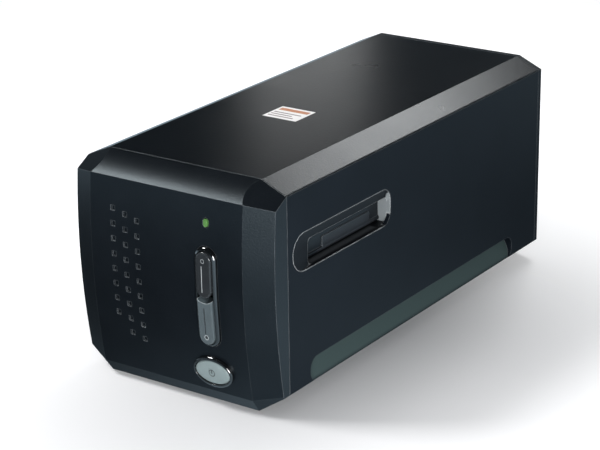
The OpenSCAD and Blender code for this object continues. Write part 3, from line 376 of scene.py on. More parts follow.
    def distance_fall(self, centre: Triple, fall: Fall, half: Triple = ORIGIN) -> Socket:
        """Gives a value that changes with the distance from a box.

        Args:
            centre: The box's centre in metres.
            fall: The nearest and farthest distance, and the value at each.
            half: Half the size of the box; without it, it is a point.

        Returns:
            The value's socket.
        """
        aside = self.vector("SUBTRACT", self.coordinate("Object"), centre)
        beyond = self.vector("SUBTRACT", self.vector("ABSOLUTE", aside), half)
        outside = self.vector("MAXIMUM", beyond, ORIGIN)
        reach = self.vector("LENGTH", outside, result="Value")
        return self.map_range(reach, *fall, interpolation_type="SMOOTHSTEP")


def new_group(
    name: str, inputs: dict[str, float], outputs: list[str]
) -> tuple[Wiring, bpy.types.NodeOutputs, bpy.types.NodeInputs]:
    """Starts a shader node group.

    Args:
        name: The group's name.
        inputs: Its numbers with their default values; a Vector input comes first.
        outputs: Its float outputs.

    Returns:
        The new group's wiring, what it is given and what it gives out.
    """
    tree = bpy.data.node_groups.new(name, "ShaderNodeTree")
    add = tree.interface.new_socket
    add("Vector", in_out="INPUT", socket_type="NodeSocketVector")
    for key, value in inputs.items():
        add(key, in_out="INPUT", socket_type="NodeSocketFloat").default_value = value
    for key in outputs:
        add(key, in_out="OUTPUT", socket_type="NodeSocketFloat")
    given = tree.nodes.new("NodeGroupInput")
    out = tree.nodes.new("NodeGroupOutput")
    return Wiring(tree), given.outputs, out.inputs


class SharedEffects:
    """The node groups that more than one finish uses, each built once."""

    def __init__(self) -> None:
        """Builds the groups."""
        self.grain = self._grain()
        self.dust = self._dust()
        self.edge_light = self._edge_light()

    def _grain(self) -> bpy.types.NodeTree:
        """Fine pitted texture of a moulded face: its height, and a slow mottle of its tone."""
        w, given, out = new_group("moulded_grain", {"Scale": 900.0}, ["Height", "Mottle"])
        place, scale = given["Vector"], given["Scale"]
        pits = w.noise(place, Scale=scale, Detail=2.0, Roughness=0.6)
        cells = w.add("TexVoronoi", place, feature="SMOOTH_F1", Scale=scale)
        w.feed(w.math("MULTIPLY", pits, cells.outputs["Distance"]), out["Height"])
        w.feed(w.noise(place, Scale=38.0, Detail=3.0), out["Mottle"])
        return w.tree

    def _dust(self) -> bpy.types.NodeTree:
        """Thin dust on faces that look up, broken into specks."""
        w, given, out = new_group("settled_dust", {"Amount": 0.2}, ["Mask"])
        normal = w.add("NewGeometry").outputs["Normal"]
        upward = w.map_range(w.axes(normal)["Z"], 0.3, 1.0)
        specks = w.noise(given["Vector"], Scale=1600.0, Detail=2.0)
        sparse = w.map_range(specks, 0.56, 0.72)
        drift = w.noise(given["Vector"], Scale=22.0, Detail=2.0)
        w.feed(w.product(sparse, upward, drift, given["Amount"]), out["Mask"])
        return w.tree

    def _edge_light(self) -> bpy.types.NodeTree:
        """Breaks the mask of the painted edge highlight up unevenly, as handling rubs an edge."""
        w, given, out = new_group("rubbed_edges", {"Edge": 0.0, "Amount": 0.5}, ["Mask"])
        patches = w.noise(given["Vector"], Scale=120.0, Detail=4.0)
        uneven = w.map_range(patches, 0.3, 0.65, 0.45)
        w.feed(w.product(uneven, given["Edge"], given["Amount"]), out["Mask"])
        return w.tree


class Surface(Wiring):
    """A material's wiring, with its shader, its coordinates and the shared groups."""

    def __init__(self, material: bpy.types.Material, effects: SharedEffects) -> None:
        """Finds the shader of a new material.

        Args:
            material: The material, with nodes.
            effects: The shared node groups.
        """
        super().__init__(material.node_tree)
        self.shader = self.find("BsdfPrincipled")
        self.place = self.coordinate("Object")
        self.effects = effects

    def show(self, **values: object) -> None:
        """Feeds the shader's inputs by name, with "_" for a space."""
        self.fill(self.shader, **values)

    def group(self, tree: bpy.types.NodeTree, **values: object) -> bpy.types.NodeOutputs:
        """Adds a shared node group on the material's coordinates, and gives its outputs."""
        return self.add("Group", node_tree=tree, Vector=self.place, **values).outputs

    def rounded(self, radius: float) -> tuple[Socket, Socket]:
        """Gives the normal of softly rounded edges, and a mask of where those edges are.

        Args:
            radius: The radius of the rounding in metres.

        Returns:
            The normal's socket and the mask's socket.
        """
        normal = self.add("Bevel", samples=6, Radius=radius).outputs["Normal"]
        flat = self.add("NewGeometry").outputs["True Normal"]
        dot = self.vector("DOT_PRODUCT", normal, flat, result="Value")
        return normal, self.map_range(dot, 0.995, 0.9)

    def bump(
        self, height: Socket, strength: float, depth: float, normal: Socket | None = None
    ) -> None:
        """Raises the surface by a pattern.

        Args:
            height: The pattern.
            strength: How much of it shows.
            depth: Its depth in metres.
            normal: The normal that it starts from, if not the mesh's own.
        """
        bump = self.add("Bump", Strength=strength, Distance=depth, Height=height)
        if normal is not None:
            self.fill(bump, Normal=normal)
        self.show(Normal=bump.outputs["Normal"])


def scaled(colour: Colour, share: float, lift: float = 0.0) -> Colour:
    """Gives a share of a colour, with a lift, at most white."""
    return tuple(min(1.0, part * share + lift) for part in colour)


def metres(lengths: Iterable[float]) -> tuple[float, ...]:
    """Turns millimetres into metres."""
    return tuple(length * MM for length in lengths)


@dataclass(frozen=True)
class Finish:
    """What every finish shares: a name, a colour and a roughness."""

    name: str
    colour: Colour
    roughness: float = 0.5

    def material(self, effects: SharedEffects) -> bpy.types.Material:
        """Builds the finish as a material.

        Args:
            effects: The shared node groups.

        Returns:
            The new material.
        """
        made = bpy.data.materials.new(self.name)
        made.use_nodes = True
        made.diffuse_color = (*self.colour, 1)
        self.dress(Surface(made, effects))
        return made

    def dress(self, w: Surface) -> None:
        """Wires the finish's own nodes into a material."""
        raise NotImplementedError

    def vary(self, w: Surface, pattern: Socket, share: float, low: float, high: float) -> Socket:
        """Varies the colour and the roughness by a pattern.

        Args:
            w: The material's wiring.
            pattern: The pattern, from 0 to 1.
            share: The darker colour, as a share of the finish's own.
            low: What the roughness gains where the pattern is 0.
            high: What it gains where the pattern is 1.

        Returns:
            The colour's socket, which is the shader's base colour.
        """
        tone = w.mix(pattern, scaled(self.colour, share), self.colour)
        ends = (self.roughness + low, self.roughness + high)
        w.show(Base_Color=tone, Roughness=w.map_range(pattern, 0.0, 1.0, *ends))
        return tone


class Grain(Enum):
    """Texture of a mould's face: pits per metre, and how deep they are in metres."""

    SATIN = (2600.0, 0.012 * MM)
    BODY = (1500.0, 0.03 * MM)
    COARSE = (1150.0, 0.11 * MM)


@dataclass(frozen=True)
class Patch:
    """A part of a moulded piece shown in another tone, with its lengths in millimetres."""

    colour: Colour
    centre: Triple
    half: Triple
    direction: Triple
    least: float = 0.5
    soft: float = 0.4

    def mask(self, w: Surface) -> Socket:
        """Masks the patch: the faces of its box that look along its direction."""
        inside = w.region(metres(self.centre), metres(self.half), self.soft * MM)
        return w.product(inside, w.facing(self.direction, self.least))


@dataclass(frozen=True)
class MouldedPlastic(Finish):
    """Matt textured plastic with painted highlights along its edges."""

    DUST_COLOUR: ClassVar[Colour] = (0.32, 0.31, 0.3)

    # The edge colour is a painted highlight along every edge.
    edge_light_colour: Colour = (0.14, 0.155, 0.165)
    edge_amount: float = 0.8
    edge_radius: float = 0.45 * MM
    grain: Grain = Grain.BODY
    specular: float = 0.12
    tint: Colour = (0.78, 0.93, 1.0)
    dust: float = 0.1
    patches: tuple[Patch, ...] = ()

    def dress(self, w: Surface) -> None:
        """Grain in height and tone, patches, painted edge highlights broken up unevenly, and a little
        dust.
        """
        scale, depth = self.grain.value
        normal, edge = w.rounded(self.edge_radius)
        grain = w.group(w.effects.grain, Scale=scale)
        edge_light = w.group(w.effects.edge_light, Amount=self.edge_amount, Edge=edge)
        dust = w.group(w.effects.dust, Amount=self.dust)
        mottle = grain["Mottle"]
        tone = w.mix(mottle, scaled(self.colour, 0.78), scaled(self.colour, 1.35, 0.002))
        # Patch tones; on the slot walls they are painted light.
        for patch in self.patches:
            tone = w.mix(patch.mask(w), tone, patch.colour)
        # Painted highlight: edges are paler where the edge mask is.
        tone = w.mix(edge_light["Mask"], tone, self.edge_light_colour)
        tone = w.mix(dust["Mask"], tone, self.DUST_COLOUR)
        ends = (self.roughness - 0.02, self.roughness + 0.03)
        w.show(Base_Color=tone, Roughness=w.map_range(mottle, 0.0, 1.0, *ends))
        w.show(Specular_IOR_Level=self.specular, Specular_Tint=(*self.tint, 1))
        w.bump(grain["Height"], 0.5, depth, normal)


@dataclass(frozen=True)
class GlossPlastic(Finish):
    """Polished plastic with faint smears, and on some pieces a clear coat and painted highlights
    along the edges.
    """

    edge_radius: float = 0.3 * MM
    edge_light_colour: Colour | None = None
    coat: float = 0.0
    specular: float = 0.5
    smear: float = 0.04

    def dress(self, w: Surface) -> None:
        """Smears in tone, roughness and height, soft edges with a painted highlight where an edge
        colour is given, and the coat.
        """
        smears = w.noise(w.place, Scale=90.0, Detail=4.0, Distortion=1.2)
        normal, edge = w.rounded(self.edge_radius)
        tone = self.vary(w, smears, 0.8, 0.0, self.smear)
        # Painted highlight: a paler colour along the edges.
        if self.edge_light_colour is not None:
            w.show(Base_Color=w.mix(edge, tone, self.edge_light_colour))
        w.bump(smears, 0.12, 0.02 * MM, normal)
        w.show(Coat_Weight=self.coat, Coat_Roughness=0.04, Specular_IOR_Level=self.specular)


@dataclass(frozen=True)
class Metal(Finish):
    """Metal with fine tool marks along one axis."""

    stretch: Triple = (400.0, 30.0, 400.0)

    def dress(self, w: Surface) -> None:
        """Stretched noise in tone, roughness and height."""
        turned = w.add("Mapping", w.place, Scale=self.stretch).outputs["Vector"]
        marks = w.noise(turned, Scale=6.0, Detail=5.0, Roughness=0.7)
        self.vary(w, marks, 0.82, -0.06, 0.1)
        normal, _ = w.rounded(0.15 * MM)
        w.bump(marks, 0.25, 0.01 * MM, normal)
        w.show(Metallic=1.0)


@dataclass(frozen=True)
class ClearPiece(Finish):
    """Clear or milky plastic and glass."""

    transmission: float = 1.0
    glow: float = 0.0

    def dress(self, w: Surface) -> None:
        """A faint cloud in the tone, over a plain transmission."""
        cloud = w.noise(w.place, Scale=300.0, Detail=3.0)
        tone = self.vary(w, cloud, 0.88, 0.0, 0.06)
        w.show(Transmission_Weight=self.transmission)
        if self.glow > 0:
            w.show(Emission_Color=tone, Emission_Strength=self.glow)


@dataclass(frozen=True)
class CircuitBoard(Finish):
    """Solder mask with a pattern of tracks under it."""

    track_colour: Colour = (0.06, 0.3, 0.15)

    def dress(self, w: Surface) -> None:
        """Tracks from a cell pattern, as tone and a slight height."""
        look = {"feature": "DISTANCE_TO_EDGE", "distance": "MANHATTAN", "Scale": 260.0}
        cells = w.add("TexVoronoi", w.place, **look).outputs["Distance"]
        lines = w.map_range(cells, 0.02, 0.09, 1.0, 0.0)
        rough = w.map_range(lines, 0.0, 1.0, self.roughness, self.roughness - 0.1)
        w.show(Base_Color=w.mix(lines, self.colour, self.track_colour), Roughness=rough)
        w.bump(lines, 0.4, 0.03 * MM)


@dataclass(frozen=True)
class Paper(Finish):
    """Coated label paper or print with faint fibres."""

    def dress(self, w: Surface) -> None:
        """Fibres in tone, roughness and height."""
        fibres = w.noise(w.place, Scale=1400.0, Detail=4.0, Roughness=0.7)
        self.vary(w, fibres, 0.93, 0.0, 0.12)
        w.bump(fibres, 0.3, 0.01 * MM)


# ---------------------------------------------------------------- the scanner's finishes


RIGHT: Triple = (1.0, 0.0, 0.0)
FORWARD: Triple = (0.0, -1.0, 0.0)
RIGHT_AND_UP: Triple = (0.9, 0.0, 0.43)
RIGHT_AND_DOWN: Triple = (0.9, 0.0, -0.43)
UP_AND_RIGHT: Triple = (0.3, 0.0, 0.95)

FRAME_BLACK: Colour = (0.005, 0.006, 0.008)
KEY_EDGE_RADIUS = 0.5 * MM
CROSS_STRETCH: Triple = (200.0, 60.0, 200.0)

GRIP_SCOOP = Patch(
    (0.05, 0.075, 0.075), (55.0, 4.0, 15.6), (4.72, 103.0, 5.6), RIGHT_AND_UP, 0.6, 1.2
)
# Painted light: the slot walls' patches are paler tones standing in for lamp light and the floor's
# reflection on those walls.
SLOT_REAR_WALL_PAINTED_LIGHT = Patch((0.2, 0.22, 0.23), (56.0, -24.0, 78.5), (4.6, 5.0, 9.5), FORWARD, 0.3)
SLOT_UPPER_WALL_PAINTED_LIGHT = Patch(
    (0.03, 0.035, 0.04), (53.4, -60.0, 85.6), (3.0, 36.0, 3.4), RIGHT_AND_DOWN, 0.5
)
SLOT_LOWER_WALL_PAINTED_LIGHT = Patch(
    (0.06, 0.065, 0.07), (55.6, -66.0, 71.0), (2.6, 33.0, 3.0), UP_AND_RIGHT, 0.6, 1.6
)
DOOR_PAD = Patch((0.02, 0.022, 0.026), (53.7, -55.0, 76.5), (0.5, 26.0, 5.0), RIGHT, 0.7, 0.15)

FINISHES: tuple[Finish, ...] = (
    MouldedPlastic(
        "shell_plastic", (0.0042, 0.0062, 0.0095), 0.48,
        specular=0.1, dust=0.04, patches=(GRIP_SCOOP,),
    ),
    MouldedPlastic(
        "cap_plastic", (0.0028, 0.0042, 0.0062), 0.34,
        grain=Grain.COARSE, specular=0.28, dust=0.04,
    ),
    MouldedPlastic(
        "cover_plastic", (0.002, 0.003, 0.0045), 0.28,
        grain=Grain.COARSE, specular=0.1, dust=0.0,
    ),
    MouldedPlastic(
        "frame_plastic", FRAME_BLACK, 0.34,
        # Painted highlight: pale lines along the slot mouth's edges.
        edge_light_colour=(0.62, 0.66, 0.68), edge_radius=0.6 * MM, specular=0.05,
        # Patches of painted light on the slot walls.
        patches=(SLOT_REAR_WALL_PAINTED_LIGHT, SLOT_LOWER_WALL_PAINTED_LIGHT, SLOT_UPPER_WALL_PAINTED_LIGHT),
    ),
    MouldedPlastic("door_plastic", FRAME_BLACK, 0.36, specular=0.3, patches=(DOOR_PAD,)),
    MouldedPlastic("guide_plastic", (0.02, 0.02, 0.022), 0.5),
    MouldedPlastic("carriage_plastic", (0.014, 0.014, 0.016), 0.45),
    MouldedPlastic(
        "white_plastic", (0.78, 0.77, 0.72), 0.45,
        edge_light_colour=(0.85, 0.85, 0.82), specular=0.4, tint=WHITE,
    ),
    MouldedPlastic("socket_black", (0.008, 0.008, 0.009), 0.4, specular=0.3),
    MouldedPlastic("chip_black", (0.012, 0.012, 0.013), 0.55, grain=Grain.SATIN),
    MouldedPlastic("rubber", (0.012, 0.012, 0.013), 0.82, specular=0.2, edge_amount=0.15),
    GlossPlastic("gloss_black", (0.003, 0.0035, 0.004), 0.05, specular=1.0, coat=1.0),
    GlossPlastic(
        "key_black", (0.02, 0.023, 0.026), 0.14,
        edge_light_colour=(0.3, 0.32, 0.33), edge_radius=KEY_EDGE_RADIUS,
    ),
    GlossPlastic(
        "key_silver", (0.07, 0.09, 0.1), 0.3,
        specular=0.4, edge_light_colour=(0.34, 0.38, 0.39), edge_radius=KEY_EDGE_RADIUS,
    ),
    GlossPlastic("power_silver", (0.2, 0.25, 0.255), 0.26),
    ClearPiece("green_light", (0.08, 0.2, 0.05), 0.25, transmission=0.2, glow=0.05),
    ClearPiece("diffuser", (0.85, 0.86, 0.82), 0.5, transmission=0.4),
    ClearPiece("lens_glass", (0.86, 0.93, 0.96), 0.01),
    Metal("steel", (0.62, 0.63, 0.65), 0.24),
    Metal("zinc_sheet", (0.58, 0.59, 0.6), 0.34, stretch=(40.0, 300.0, 40.0)),
    Metal("black_screws", (0.09, 0.09, 0.095), 0.4, stretch=(200.0, 200.0, 200.0)),
    Metal("bronze", (0.55, 0.36, 0.14), 0.36, stretch=CROSS_STRETCH),
    Metal("brass", (0.72, 0.55, 0.22), 0.28, stretch=CROSS_STRETCH),
    Metal("mirror_glass", (0.93, 0.94, 0.95), 0.07, stretch=(20.0, 20.0, 20.0)),
    Metal("lens_black", (0.03, 0.03, 0.032), 0.38),
    CircuitBoard("circuit_board", (0.018, 0.14, 0.06), 0.35),
    Paper("label_paper", (0.93, 0.91, 0.9), 0.45),
    Paper("ink_orange", (0.56, 0.24, 0.12), 0.4),
    Paper("ink_grey", (0.25, 0.2, 0.2), 0.4),
    Paper("mark_light", (0.34, 0.37, 0.38), 0.35),
    Paper("mark_dark", (0.012, 0.014, 0.016), 0.4),
)


# ---------------------------------------------------------------- the scanner's sub-assemblies


@dataclass
class SubAssembly:
    """A group of CAD nodes and the thin pieces that go on them."""

    NODES: ClassVar[dict[str, tuple[str, ...]]] = {}

    materials: dict[str, bpy.types.Material]
    pieces: list[Piece] = field(default_factory=list)

    def build(self) -> None:
        """Gives the CAD nodes their finishes, and adds the group's own pieces."""
        for finish, names in self.NODES.items():
            for name in names:
                node = bpy.data.objects[name]
                node.data.materials.clear()
                node.data.materials.append(self.materials[finish])
                log.info("dressed %s in %s", name, finish)
        self.add_pieces()

    def add_pieces(self) -> None:
        """Adds the pieces that are made here. Most groups have none."""

    def keep(self, piece: Piece, finish: str, body: str, slot: str) -> None:
        """Finishes a new piece: its material and its body.

        Args:
            piece: The new piece, settled.
            finish: The finish to show.
            body: The CAD body it rides on.
            slot: Not used.
        """
        piece.data.materials.clear()
        piece.data.materials.append(self.materials[finish])
        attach(piece, body)
        self.pieces.append(piece)
        log.info("made %s on %s: %d faces", piece.name, body, len(piece.data.polygons))


@dataclass(frozen=True)
class Print:
    """A printed bar, by its share of the sticker's width and depth and its place along it."""

    name: str
    finish: str
    length: float
    height: float
    place: float


@dataclass
class Housing(SubAssembly):
    """The shells, the feet and the paper sticker on the top."""

    NODES = {
        "shell_plastic": ("base_shell", "rear_panel"),
        "cap_plastic": ("front_bezel",),
        "cover_plastic": ("top_cover",),
        "rubber": ("rubber_feet",),
        "black_screws": ("case_screws",),
    }
    PRINTS: ClassVar[tuple[Print, ...]] = (
        Print("sticker_band", "ink_orange", 0.86, 0.2, 0.28),
        Print("sticker_bar_1", "ink_grey", 0.8, 0.06, -0.02),
        Print("sticker_bar_2", "ink_grey", 0.62, 0.06, -0.18),
        Print("sticker_bar_3", "ink_grey", 0.74, 0.06, -0.34),
    )

    sticker_centre: Vector = field(default_factory=lambda: Vector((-1.3, -24.6, 119.0)) * MM)
    sticker_size: tuple[float, float] = (20.8 * MM, 18.4 * MM)
    sticker_thick: float = 0.12 * MM
    ink_thick: float = 0.02 * MM
    print_share: float = 0.86

    def add_pieces(self) -> None:
        """Makes the paper and its plain printed bars, which start on one line."""
        width, depth = self.sticker_size
        corner = Matrix.Translation(self.sticker_centre)
        paper = plate("top_sticker", (width, depth, self.sticker_thick), corner)
        self.keep(paper, "label_paper", "housing", "white_plastic")
        for ink in self.PRINTS:
            aside = -width * (self.print_share - ink.length) / 2
            place = Matrix.Translation((aside, depth * ink.place, self.sticker_thick))
            size = (width * ink.length, depth * ink.height, self.ink_thick)
            bar = plate(ink.name, size, corner @ place)
            self.keep(bar, ink.finish, "housing", "white_plastic")


class Key(Enum):
    """A key: its body, its middle's height, and how far out its face is, in millimetres."""

    UPPER = ("upper_key", 72.45, 3.0)
    LOWER = ("lower_key", 47.95, 3.0)
    POWER = ("power_button", 20.1, 2.4)


@dataclass(frozen=True)
class KeyMark:
    """A mark printed on a key, with its lengths in millimetres.

    A line's size is its width and height, a ring's its radius and half its line's width.
    """

    name: str
    key: Key
    is_ring: bool
    place: tuple[float, float]
    size: tuple[float, float]
    finish: str
    slot: str


@dataclass
class KeyPanel(SubAssembly):
    """The keys, their surrounds and the light, with the marks on the keys."""

    NODES = {
        "key_black": ("scan_key_upper",),
        "key_silver": ("scan_key_lower",),
        "green_light": ("status_light",),
        "circuit_board": ("key_board",),
        "chip_black": ("key_switches",),
    }
    MARKS: ClassVar[tuple[KeyMark, ...]] = (
        KeyMark(
            "upper_key_line", Key.UPPER, False, (-0.7, -2.2), (0.34, 13.6), "mark_light", "key_silver"
        ),
        KeyMark(
            "lower_key_line", Key.LOWER, False, (-0.3, 0.8), (0.34, 13.6), "mark_dark", "key_black"
        ),
        KeyMark(
            "upper_key_ring", Key.UPPER, True, (0.0, 7.2), (0.95, 0.24), "mark_light", "key_silver"
        ),
        KeyMark(
            "lower_key_ring", Key.LOWER, True, (0.0, -8.0), (1.15, 0.26), "mark_light", "key_silver"
        ),
        KeyMark(
            "lower_key_dot", Key.LOWER, True, (0.0, -8.0), (0.42, 0.4), "mark_dark", "key_black"
        ),
        KeyMark(
            "power_key_ring", Key.POWER, True, (0.0, 0.0), (1.7, 0.26), "mark_dark", "key_black"
        ),
        KeyMark(
            "power_key_stroke", Key.POWER, False, (0.0, 0.6), (0.4, 1.9), "mark_dark", "key_black"
        ),
    )
    RING_LOOPS: ClassVar[tuple[Triple, ...]] = (
        (11.7, 8.2, 0.12), (11.8, 8.3, 0.2), (11.8, 8.3, 1.0), (11.68, 8.2, 1.5),
        (11.4, 7.9, 1.9), (11.05, 7.4, 2.14), (10.75, 6.9, 2.18), (10.56, 6.55, 2.05),
        (10.5, 6.42, 1.8), (10.5, 6.42, 0.12),
    )
    CAP_LOOPS: ClassVar[tuple[Triple, ...]] = (
        (10.2, 6.1, -1.5), (10.2, 6.1, 1.5), (10.1, 6.0, 1.74), (9.75, 5.65, 1.93),
        (9.0, 4.95, 2.08), (7.4, 3.8, 2.23), (5.0, 2.4, 2.35), (2.4, 1.1, 2.4),
    )
    RAIL_STEPS: ClassVar[tuple[tuple[float, float], ...]] = (
        (0.18, 0.34), (0.3, 0.26), (0.75, 0.42), (0.17, 0.05), (0.14, -0.12),
    )

    bow_radius: float = 352.0 * MM
    bow_axis_y: float = 219.0 * MM
    bow_axis_z: float = 74.0 * MM
    keys_x: float = 24.8 * MM
    surround_z: float = 60.1 * MM
    surround_half_width: float = 6.3 * MM
    surround_half_length: float = 26.0 * MM
    surround_sides: int = 72
    rail_root: float = 2.4 * MM
    rail_wall: float = 3.3 * MM
    rail_inner_wall: float = 3.6 * MM
    line_thick: float = 0.06 * MM
    ring_sink: float = 0.07 * MM
    ring_flatness: float = 0.35

    def on_panel(self, z: float, out: float) -> Matrix:
        """Frame of a place on the bowed panel.

        Args:
            z: Height of the place.
            out: Distance out of the panel's face.

        Returns:
            A frame with its first axis to the right, its second up and its third out.
        """
        tilt = math.asin((z - self.bow_axis_z) / self.bow_radius)
        reach = self.bow_radius + out
        y = self.bow_axis_y - reach * math.cos(tilt)
        centre = Vector((self.keys_x, y, self.bow_axis_z + reach * math.sin(tilt)))
        return Matrix.Translation(centre) @ Matrix.Rotation(math.pi / 2 - tilt, 4, "X")

    def wrap(self, piece: Piece, middle_z: float) -> None:
        """Lays a piece that was made flat onto the bowed panel.

        Args:
            piece: The piece, with its second axis up and its third axis out of the panel.
            middle_z: Height of the piece's origin.
        """
        for vertex in piece.data.vertices:
            x, y, out = vertex.co
            vertex.co = self.on_panel(middle_z + y, out) @ Vector((x, 0, 0))
        piece.data.update()
        facing_out(piece)
        bpy.ops.object.shade_smooth_by_angle(angle=SMOOTH_ANGLE)

    def surround(self) -> None:
        """The pill-shaped insert, with rails that slope out from the keys."""
        width = self.surround_half_width
        deselect_all()
        bpy.ops.mesh.primitive_circle_add(
            vertices=self.surround_sides, radius=width, fill_type="NGON"
        )
        piece = take("surround_insert")
        bpy.ops.object.mode_set(mode="EDIT")
        for side in (1, -1):
            pick(piece, "verts", lambda vertex: vertex.co.y * side > MERGE_DISTANCE)
            stretch = side * (self.surround_half_length - width)
            bpy.ops.transform.translate(value=(0, stretch, 0))
        bpy.ops.mesh.select_all(action="SELECT")
        extrude((0, 0, self.rail_wall))
        for inward, rise in self.RAIL_STEPS:
            bpy.ops.mesh.inset(thickness=inward * MM, depth=rise * MM)
        extrude((0, 0, -self.rail_inner_wall))
        bpy.ops.mesh.delete(type="FACE")
        bpy.ops.mesh.select_all(action="SELECT")
        bpy.ops.transform.translate(value=(0, 0, -self.rail_root))
        pick(piece, "faces", lambda face: len(face.verts) > 4)
        bpy.ops.mesh.delete(type="FACE")
        bridge_open_edges()
        bpy.ops.object.mode_set(mode="OBJECT")
        self.wrap(piece, self.surround_z)
        self.keep(piece, "gloss_black", "housing", "gloss_black")
        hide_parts("key_surround")

    def power_group(self) -> None:
        """The oval ring, rounded like a bead, and the softly domed key inside it."""
        body, middle, _ = Key.POWER.value
        ring = oval_loft("power_bezel", self.RING_LOOPS, closed=False)
        self.wrap(ring, middle * MM)
        self.keep(ring, "gloss_black", "housing", "gloss_black")
        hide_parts("power_ring")
        key = oval_loft("power_cap", self.CAP_LOOPS, closed=True)
        self.wrap(key, middle * MM)
        self.keep(key, "power_silver", body, "key_silver")
        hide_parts("power_key")

    def ring_mark(self, name: str, place: Matrix, radius: float, wire: float) -> Piece:
        """Makes a small printed ring on a key.

        Args:
            name: The name of the piece.
            place: The ring's frame on the key's face.
            radius: The ring's radius.
            wire: Half the width of its line.

        Returns:
            The ring, settled.
        """
        deselect_all()
        bpy.ops.mesh.primitive_torus_add(
            major_radius=radius, minor_radius=wire, major_segments=40, minor_segments=8
        )
        ring = take(name)
        ring.matrix_world = place @ Matrix.Diagonal((1, 1, self.ring_flatness, 1))
        settle(ring)
        facing_out(ring)
        bpy.ops.object.shade_smooth()
        return ring

    def add_pieces(self) -> None:
        """Adds the surrounds, the power key and the marks."""
        self.surround()
        self.power_group()
        for mark in self.MARKS:
            body, middle, face = mark.key.value
            panel = self.on_panel(middle * MM, face * MM)
            x, y = metres(mark.place)
            width, height = metres(mark.size)
            if mark.is_ring:
                place = panel @ Matrix.Translation((x, y, -self.ring_sink))
                piece = self.ring_mark(mark.name, place, width, height)
            else:
                place = panel @ Matrix.Translation((x, y, 0))
                piece = plate(mark.name, (width, height, self.line_thick), place)
            self.keep(piece, mark.finish, body, mark.slot)


@dataclass
class FilmPath(SubAssembly):
    """The slots, their doors and the guide between them."""

    NODES = {
        "frame_plastic": ("slot_frame_right", "slot_frame_left"),
        "door_plastic": ("dust_door_right", "dust_door_left"),
        "steel": ("hinge_pins", "door_springs"),
        "guide_plastic": ("film_guide",),
    }


@dataclass
class Carriage(SubAssembly):
    """The frame inside, with the optical carriage that travels along its rods."""

    NODES = {
        "guide_plastic": ("chassis",),
        "steel": ("guide_rods",),
        "carriage_plastic": ("carriage_frame", "lamp_arm"),
        "bronze": ("rod_bushes",),
        "zinc_sheet": ("lamp_bar", "lens_clamp"),
        "diffuser": ("lamp_diffuser",),
        "mirror_glass": ("fold_mirror",),
        "lens_black": ("lens_barrel",),
        "lens_glass": ("lens_glass",),
        "circuit_board": ("sensor_board",),
        "chip_black": ("line_sensor",),
        "white_plastic": ("drive_nut",),
    }


@dataclass
class DriveTrain(SubAssembly):
    """The motor and the screw that move the carriage."""

    NODES = {
        "steel": ("drive_screw", "motor_shaft"),
        "white_plastic": ("drive_gear",),
        "bronze": ("screw_bearings",),
        "zinc_sheet": ("motor",),
        "brass": ("motor_pinion",),
        "black_screws": ("chassis_screws",),
    }


@dataclass
class Electronics(SubAssembly):
    """The main board with its sockets."""

    NODES = {
        "circuit_board": ("main_board",),
        "chip_black": ("board_chips",),
        "zinc_sheet": ("usb_socket",),
        "socket_black": ("power_socket",),
        "black_screws": ("board_screws",),
    }


# ---------------------------------------------------------------- floor, lamps and camera


@dataclass(frozen=True)
class SoftLamp:
    """A soft rectangular lamp: its centre, its size, its watts and the point that it faces."""

    name: str
    place: Triple
    size: tuple[float, float]
    watts: float
    aim: Triple = (0.0, 0.0, 0.06)

    def add(self) -> None:
        """Adds the lamp to the scene, unseen by the camera."""
        light = bpy.data.lights.new(self.name, "AREA")
        light.shape = "RECTANGLE"
        light.size, light.size_y = self.size
        light.energy = self.watts
        lamp = bpy.data.objects.new(self.name, light)
        back = Vector(self.place) - Vector(self.aim)
        lamp.location = self.place
        lamp.rotation_euler = back.to_track_quat("Z", "Y").to_euler()
        lamp.visible_camera = False
        bpy.context.scene.collection.objects.link(lamp)


